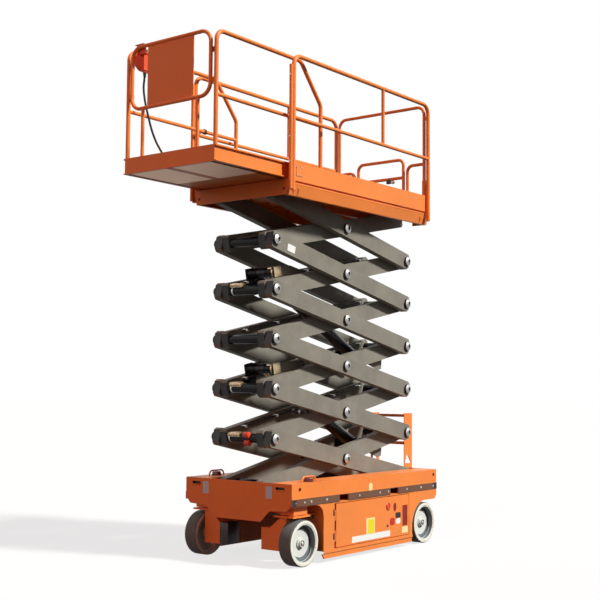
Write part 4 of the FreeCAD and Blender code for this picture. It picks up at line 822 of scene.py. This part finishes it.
# Warning lamps: a low dark-red lens over a black base, under each orange guard hoop.
coat_nodes(orange_enamel, ("warning_lamps",))
lamp_lens = moulded("dark_red_lamp_lens", "6E1210", 0.2)
lamps = []
for side in (1, -1):
    dome = primitive("cylinder", vertices=40, radius=0.0400, depth=0.0320)
    bevelled(dome, "FACE", 0.0110, 4, top_face)
    dome.data.materials.append(lamp_lens)
    base = primitive("cylinder", vertices=40, radius=0.0440, depth=0.0060)
    bevelled(base, "FACE", 0.0020, 2, top_face)
    base.data.materials.append(cap_plastic)
    lamps.append(placed(dome, (0.461, side * 0.515, 0.6970)))
    lamps.append(placed(base, (0.461, side * 0.515, 0.6836)))
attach(smoothed(joined(lamps, "lamp_lenses")), "chassis")

# Drive motor end on the right knuckle: its inner half is a black moulded cover, whose black also stands as
# painted shade for the dark space between the knuckles.
motor_end = rounded_block((0.154, 0.092, 0.188), 0.006, black_enamel)
placed(motor_end, (0.601, -0.2310, 0.2100))
motor_end.name = motor_end.data.name = "motor_end"
smoothed(motor_end)
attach(motor_end, "right_knuckle")


# Platform: its leaning sills carry slotted eyes for the folding pins, their slots painted dark red as shade,
# and its front beam two holes, drawn as dark red discs of painted shade.
# The deck is covered with embossed anti-slip sheet, riveted down between the toe boards.
SILL_LEAN = math.atan2(0.024, 0.103)
slots = []
for side in (1, -1):
    for x in (0.700, 0.636, -1.296, -1.389):
        bezel = rounded_block((0.026, 0.0036, 0.066), 0.0014, orange_enamel)
        # the eye's slot is painted dark red as shade, inside an orange bezel
        slot = rounded_block((0.013, 0.0054, 0.048), 0.0020, painted_shade_red)
        for piece in (bezel, slot):
            slots.append(placed(piece, (x, side * 0.5182, 3.1000), (-side * SILL_LEAN, 0, 0)))
    # a dark red disc of painted shade that stands for a hole in the front beam
    hole_shade_disc = turned_drum(0.0130, 0.0060, 0.0020, painted_shade_red)
    slots.append(placed(hole_shade_disc, (0.7770, side * 0.479, 3.110), ALONG_X))
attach(joined(slots, "sill_eyes"), "platform")

# A hatch on the near toe board, held by four screws; the dark red border round it is painted shade for the
# gap.
hatch = rounded_block((0.076, 0.0030, 0.081), 0.0012, orange_enamel)
frame_line = rounded_block((0.082, 0.0016, 0.087), 0.0006, painted_shade_red)
hatches = [placed(hatch, (0.647, 0.5384, 3.2655)), placed(frame_line, (0.647, 0.5382, 3.2655))]
screw = bolt_head(0.0045, zinc_plate)
for x in (0.615, 0.679):
    for z in (3.232, 3.299):
        hatches.append(copied(screw, (x, 0.5398, z), FACING_LEFT))
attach(joined(hatches, "toe_board_hatch"), "platform")


def tread_plate(name, colour):
    """Embossed anti-slip sheet: raised lozenges 30 mm long in two crossed directions."""
    material, tree, where = blank_material(name)
    heights = []
    for angle in (45, -45):
        turned = add_node(tree, "ShaderNodeMapping", (("Rotation", (0, 0, math.radians(angle))),
                                                      ("Scale", (33.0, 90.0, 1.0))),
                          (("Vector", where),))
        cells = add_node(tree, "ShaderNodeTexVoronoi", (("Randomness", 0.0), ("Scale", 1.0)),
                         (("Vector", turned.outputs[0]),))
        heights.append(add_node(tree, "ShaderNodeMapRange",
                                (("From Min", 0.30), ("From Max", 0.18), ("To Min", 0.0), ("To Max", 1.0)),
                                (("Value", cells.outputs["Distance"]),)))
    raised = add_node(tree, "ShaderNodeMath", (("operation", "MAXIMUM"),),
                      ((0, heights[0].outputs[0]), (1, heights[1].outputs[0])))
    worn = add_node(tree, "ShaderNodeTexNoise", (("Scale", 8.0), ("Detail", 5.0)),
                    (("Vector", where),))
    shade = add_node(tree, "ShaderNodeMix",
                     (("data_type", "RGBA"), (6, linear(colour)), (7, linear("6A6C6E"))),
                     ((0, worn.outputs[0]),))
    lift = add_node(tree, "ShaderNodeBump", (("Strength", 0.9), ("Distance", 0.004)),
                    (("Height", raised.outputs[0]),))
    skin = add_node(tree, "ShaderNodeBsdfPrincipled", (("Metallic", 0.7), ("Roughness", 0.45)),
                    (("Base Color", shade.outputs[2]), ("Normal", lift.outputs[0])))
    add_node(tree, "ShaderNodeOutputMaterial", (), (("Surface", skin.outputs[0]),))
    return material


deck_sheet = tread_plate("embossed_deck_sheet", "9DA0A2")
rivet = bolt_head(0.0050, zinc_plate)
for name, body, low, high, half, z in (("platform_tread", "platform", -1.420, 0.720, 0.470, 3.1908),
                                       ("extension_tread", "extension", 0.262, 1.640, 0.468, 3.2268)):
    tread = sized_cube((high - low, 2 * half, 0.0014))
    bevelled(tread, "EDGE", 0.020, 3, lambda middle, along: abs(along.z) > 0.0005)
    tread.data.materials.append(deck_sheet)
    pieces = [placed(tread, ((low + high) / 2, 0, z))]
    for number in range(6):
        for side in (1, -1):
            x = low + 0.03 + (high - low - 0.06) * number / 5
            pieces.append(copied(rivet, (x, side * (half - 0.018), z + 0.0005)))
    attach(joined(pieces, name), body)
bpy.data.objects.remove(rivet)

# Guide bushes: a dark brown ring on an arm at each main front post, in which the extension's mid rail
# runs, and bolts through the guide tubes. Enamelled hinge brackets carry the rear frame's legs.
bushes = []
for side in (1, -1):
    bush = primitive("cylinder", vertices=40, radius=0.0240, depth=0.0240, rotation=(0, math.radians(90), 0))
    bpy.ops.object.transform_apply(location=False, rotation=True, scale=False)
    pick(bush, "FACE", lambda centre, normal: abs(normal.x) > 0.9)
    bpy.ops.mesh.inset(thickness=0.0065)
    bpy.ops.mesh.bridge_edge_loops()
    bpy.ops.object.mode_set(mode="OBJECT")
    bush.data.materials.append(strake_enamel)
    bushes.append(placed(bush, (0.7100, side * 0.486, 3.728)))
    arm = rounded_block((0.040, 0.030, 0.018), 0.0030, strake_enamel)
    bushes.append(placed(arm, (0.7250, side * 0.528, 3.728)))
    for z in (3.540, 3.330, 4.060):
        bushes.append(placed(copied(screw, (0, 0, 0)), (0.8038, side * 0.5573, z), FACING_FRONT))
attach(smoothed(joined(bushes, "rail_guides")), "platform")

brackets = []
for side in (1, -1):
    sleeve = primitive("cylinder", vertices=32, radius=0.0215, depth=0.1500)
    bevelled(sleeve, "FACE", 0.0030, 2, end_face)
    sleeve.data.materials.append(orange_enamel)
    brackets.append(placed(sleeve, (-1.390, side * 0.5125, 3.4200)))
    ear = rounded_block((0.030, 0.045, 0.052), 0.0040, orange_enamel)
    brackets.append(placed(ear, (-1.3900, side * 0.5300, 3.4700)))
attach(smoothed(joined(brackets, "rear_frame_brackets")), "platform")

# Gate latch: a black box on the gate's bar with a white pull knob.
latch_box = rounded_block((0.030, 0.046, 0.042), 0.0040, cap_plastic)
knob = primitive("uv_sphere", segments=24, ring_count=12, radius=0.0180)
knob.data.materials.append(white_vinyl)
stem = turned_drum(0.0060, 0.0240, 0.0010, zinc_plate)
gate_latch = joined([placed(latch_box, (-1.3720, 0.1100, 3.5230)), placed(stem, (-1.3700, 0.1400, 3.5130)),
                     placed(knob, (-1.3690, 0.1620, 3.5130))], "gate_latch")
smoothed(gate_latch)
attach(gate_latch, "entry_gate")


# Extension: side beams of folded channel, with a flange along the top and the bottom. The front
# loop turns on enamelled hinge lugs with plated pins. Below, the rear sheet is orange enamel and
# the front one a pale beige metal, with a stiffener down the middle.
flanges = []
for side in (1, -1):
    for z, thick in ((3.3235, 0.0130), (3.2035, 0.0100)):
        flange = rounded_block((1.352, 0.0180, thick), 0.0015, orange_enamel)
        flanges.append(placed(flange, (0.9795, side * 0.5030, z)))
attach(joined(flanges, "beam_flanges"), "extension")

# the front sheet below is a pale beige metal, lighter than the orange rear one
pale_front_sheet = metal("pale_beige_metal_sheet", "E6C7AE", 0.55, 90.0)
panels = []
for rear, front, material in ((0.275, 1.080, orange_enamel), (1.082, 1.640, pale_front_sheet)):
    panel = rounded_block((front - rear, 0.880, 0.0012), 0.0005, material)
    panels.append(placed(panel, ((rear + front) / 2, 0, 3.1979)))
stiffener = rounded_block((1.364, 0.060, 0.0030), 0.0010, orange_enamel)
panels.append(placed(stiffener, (0.958, 0, 3.1960)))
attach(joined(panels, "extension_under_panels"), "extension")

lugs = []
for side in (1, -1):
    for z, material in ((4.085, strake_enamel), (3.845, orange_enamel)):
        lug = rounded_block((0.026, 0.052, 0.036), 0.0040, material)
        pin = primitive("cylinder", vertices=24, radius=0.0080, depth=0.0560)
        bevelled(pin, "FACE", 0.0015, 2, end_face)
        pin.data.materials.append(zinc_plate)
        lugs.append(placed(lug, (1.6330, side * 0.4600, z)))
        lugs.append(placed(pin, (1.6290, side * 0.4600, z)))
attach(smoothed(joined(lugs, "loop_hinges")), "extension")
for source in (screw, side_bolt):
    bpy.data.objects.remove(source)

# Control box: a two-part moulded case in orange red with a dark seam, hung on a folded hook. On
# its upper face it has a proportional lever in a rubber boot, a mushroom stop and three toggles.
box_shell = moulded("red_orange_moulded_case", "E0501F", 0.4)
coat_nodes(box_shell, ("control_box",))
seam = sized_cube((0.0040, 0.1370, 0.1370))
bevelled(seam, "EDGE", 0.0720, 1,
         lambda middle, along: abs(along.x) > 0.003 and middle.y < 0 and middle.z < 0)
seam.data.materials.append(cap_plastic)
placed(seam, (1.5400, -0.4325, 4.1375))
boot = primitive("cone", vertices=32, radius1=0.0240, radius2=0.0090, depth=0.0240)
pick(boot, "EDGE", lambda middle, along: abs(along.z) > 0.01)
bpy.ops.mesh.subdivide(number_cuts=6)
bpy.ops.object.mode_set(mode="OBJECT")
for point in boot.data.vertices:
    fold = 1.0 + 0.10 * math.cos(math.tau * 3.5 * (point.co.z + 0.012) / 0.024)
    point.co.x *= fold
    point.co.y *= fold
boot.data.materials.append(hose_rubber)
lever = primitive("cylinder", vertices=24, radius=0.0065, depth=0.0420)
bevelled(lever, "FACE", 0.0030, 3, top_face)
lever.data.materials.append(cap_plastic)
collar = primitive("cylinder", vertices=32, radius=0.0190, depth=0.0060)
bevelled(collar, "FACE", 0.0020, 2, top_face)
collar.data.materials.append(yellow_vinyl)
mushroom = primitive("cylinder", vertices=32, radius=0.0150, depth=0.0140)
bevelled(mushroom, "FACE", 0.0060, 4, top_face)
mushroom.data.materials.append(red_plastic)
pieces = [seam, placed(boot, (1.5200, -0.4000, 4.2170)), placed(lever, (1.5200, -0.4000, 4.2430)),
          placed(collar, (1.5100, -0.4650, 4.2080)), placed(mushroom, (1.5100, -0.4650, 4.2170))]
for number, y in enumerate((-0.4200, -0.4400, -0.4600)):
    toggle = primitive("cone", vertices=16, radius1=0.0030, radius2=0.0045, depth=0.0160)
    toggle.data.materials.append(zinc_plate)
    base = primitive("cylinder", vertices=6, radius=0.0075, depth=0.0040)
    stepped(base, top_face, ((0.0020, 0),))
    base.data.materials.append(zinc_plate)
    pieces.append(placed(toggle, (1.4800, y, 4.2150), (0, math.radians(15), 0)))
    pieces.append(placed(base, (1.4800, y, 4.2070)))
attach(smoothed(joined(pieces, "box_controls")), "extension")

# Control cable: one round rubber cord, 0.87 m long, from the gland under the box down to the
# socket on the extension floor. It hangs in one plane and leaves the gland through a tapered boot.
CABLE_X = 1.556
CABLE_POINTS = (
    (-0.3850, 4.0543),
    (-0.3870, 4.0000),
    (-0.3990, 3.9300),
    (-0.3760, 3.8080),
    (-0.3470, 3.7180),
    (-0.2980, 3.5700),
    (-0.2390, 3.4510),
    (-0.1820, 3.3740),
    (-0.1380, 3.3060),
    (-0.1300, 3.2472),
)
curve = bpy.data.curves.new("control_cable_line", "CURVE")
curve.dimensions = "3D"
curve.resolution_u = 10
curve.bevel_depth = 0.009
curve.bevel_resolution = 6
curve.use_fill_caps = True
spline = curve.splines.new("NURBS")
spline.points.add(len(CABLE_POINTS) - 1)
for point, (y, z) in zip(spline.points, CABLE_POINTS):
    point.co = (CABLE_X, y, z, 1)
spline.order_u = 3
spline.use_endpoint_u = True
curve.materials.append(hose_rubber)
cable = bpy.data.objects.new("control_cable_cord", curve)
bpy.context.collection.objects.link(cable)
boot = primitive("cone", vertices=32, radius1=0.0105, radius2=0.0150, depth=0.0380)
pick(boot, "EDGE", lambda middle, along: abs(along.z) > 0.01)
bpy.ops.mesh.subdivide(number_cuts=8)
bpy.ops.object.mode_set(mode="OBJECT")
for point in boot.data.vertices:
    fold = 1.0 + 0.04 * math.cos(math.tau * 5 * (point.co.z + 0.019) / 0.038)
    point.co.x *= fold
    point.co.y *= fold
boot.data.materials.append(hose_rubber)
placed(boot, (CABLE_X, -0.3853, 4.0360))
boot.name = boot.data.name = "cable_boot"
smoothed(boot)
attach(boot, "extension")
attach(cable, "extension")
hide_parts("control_cable")
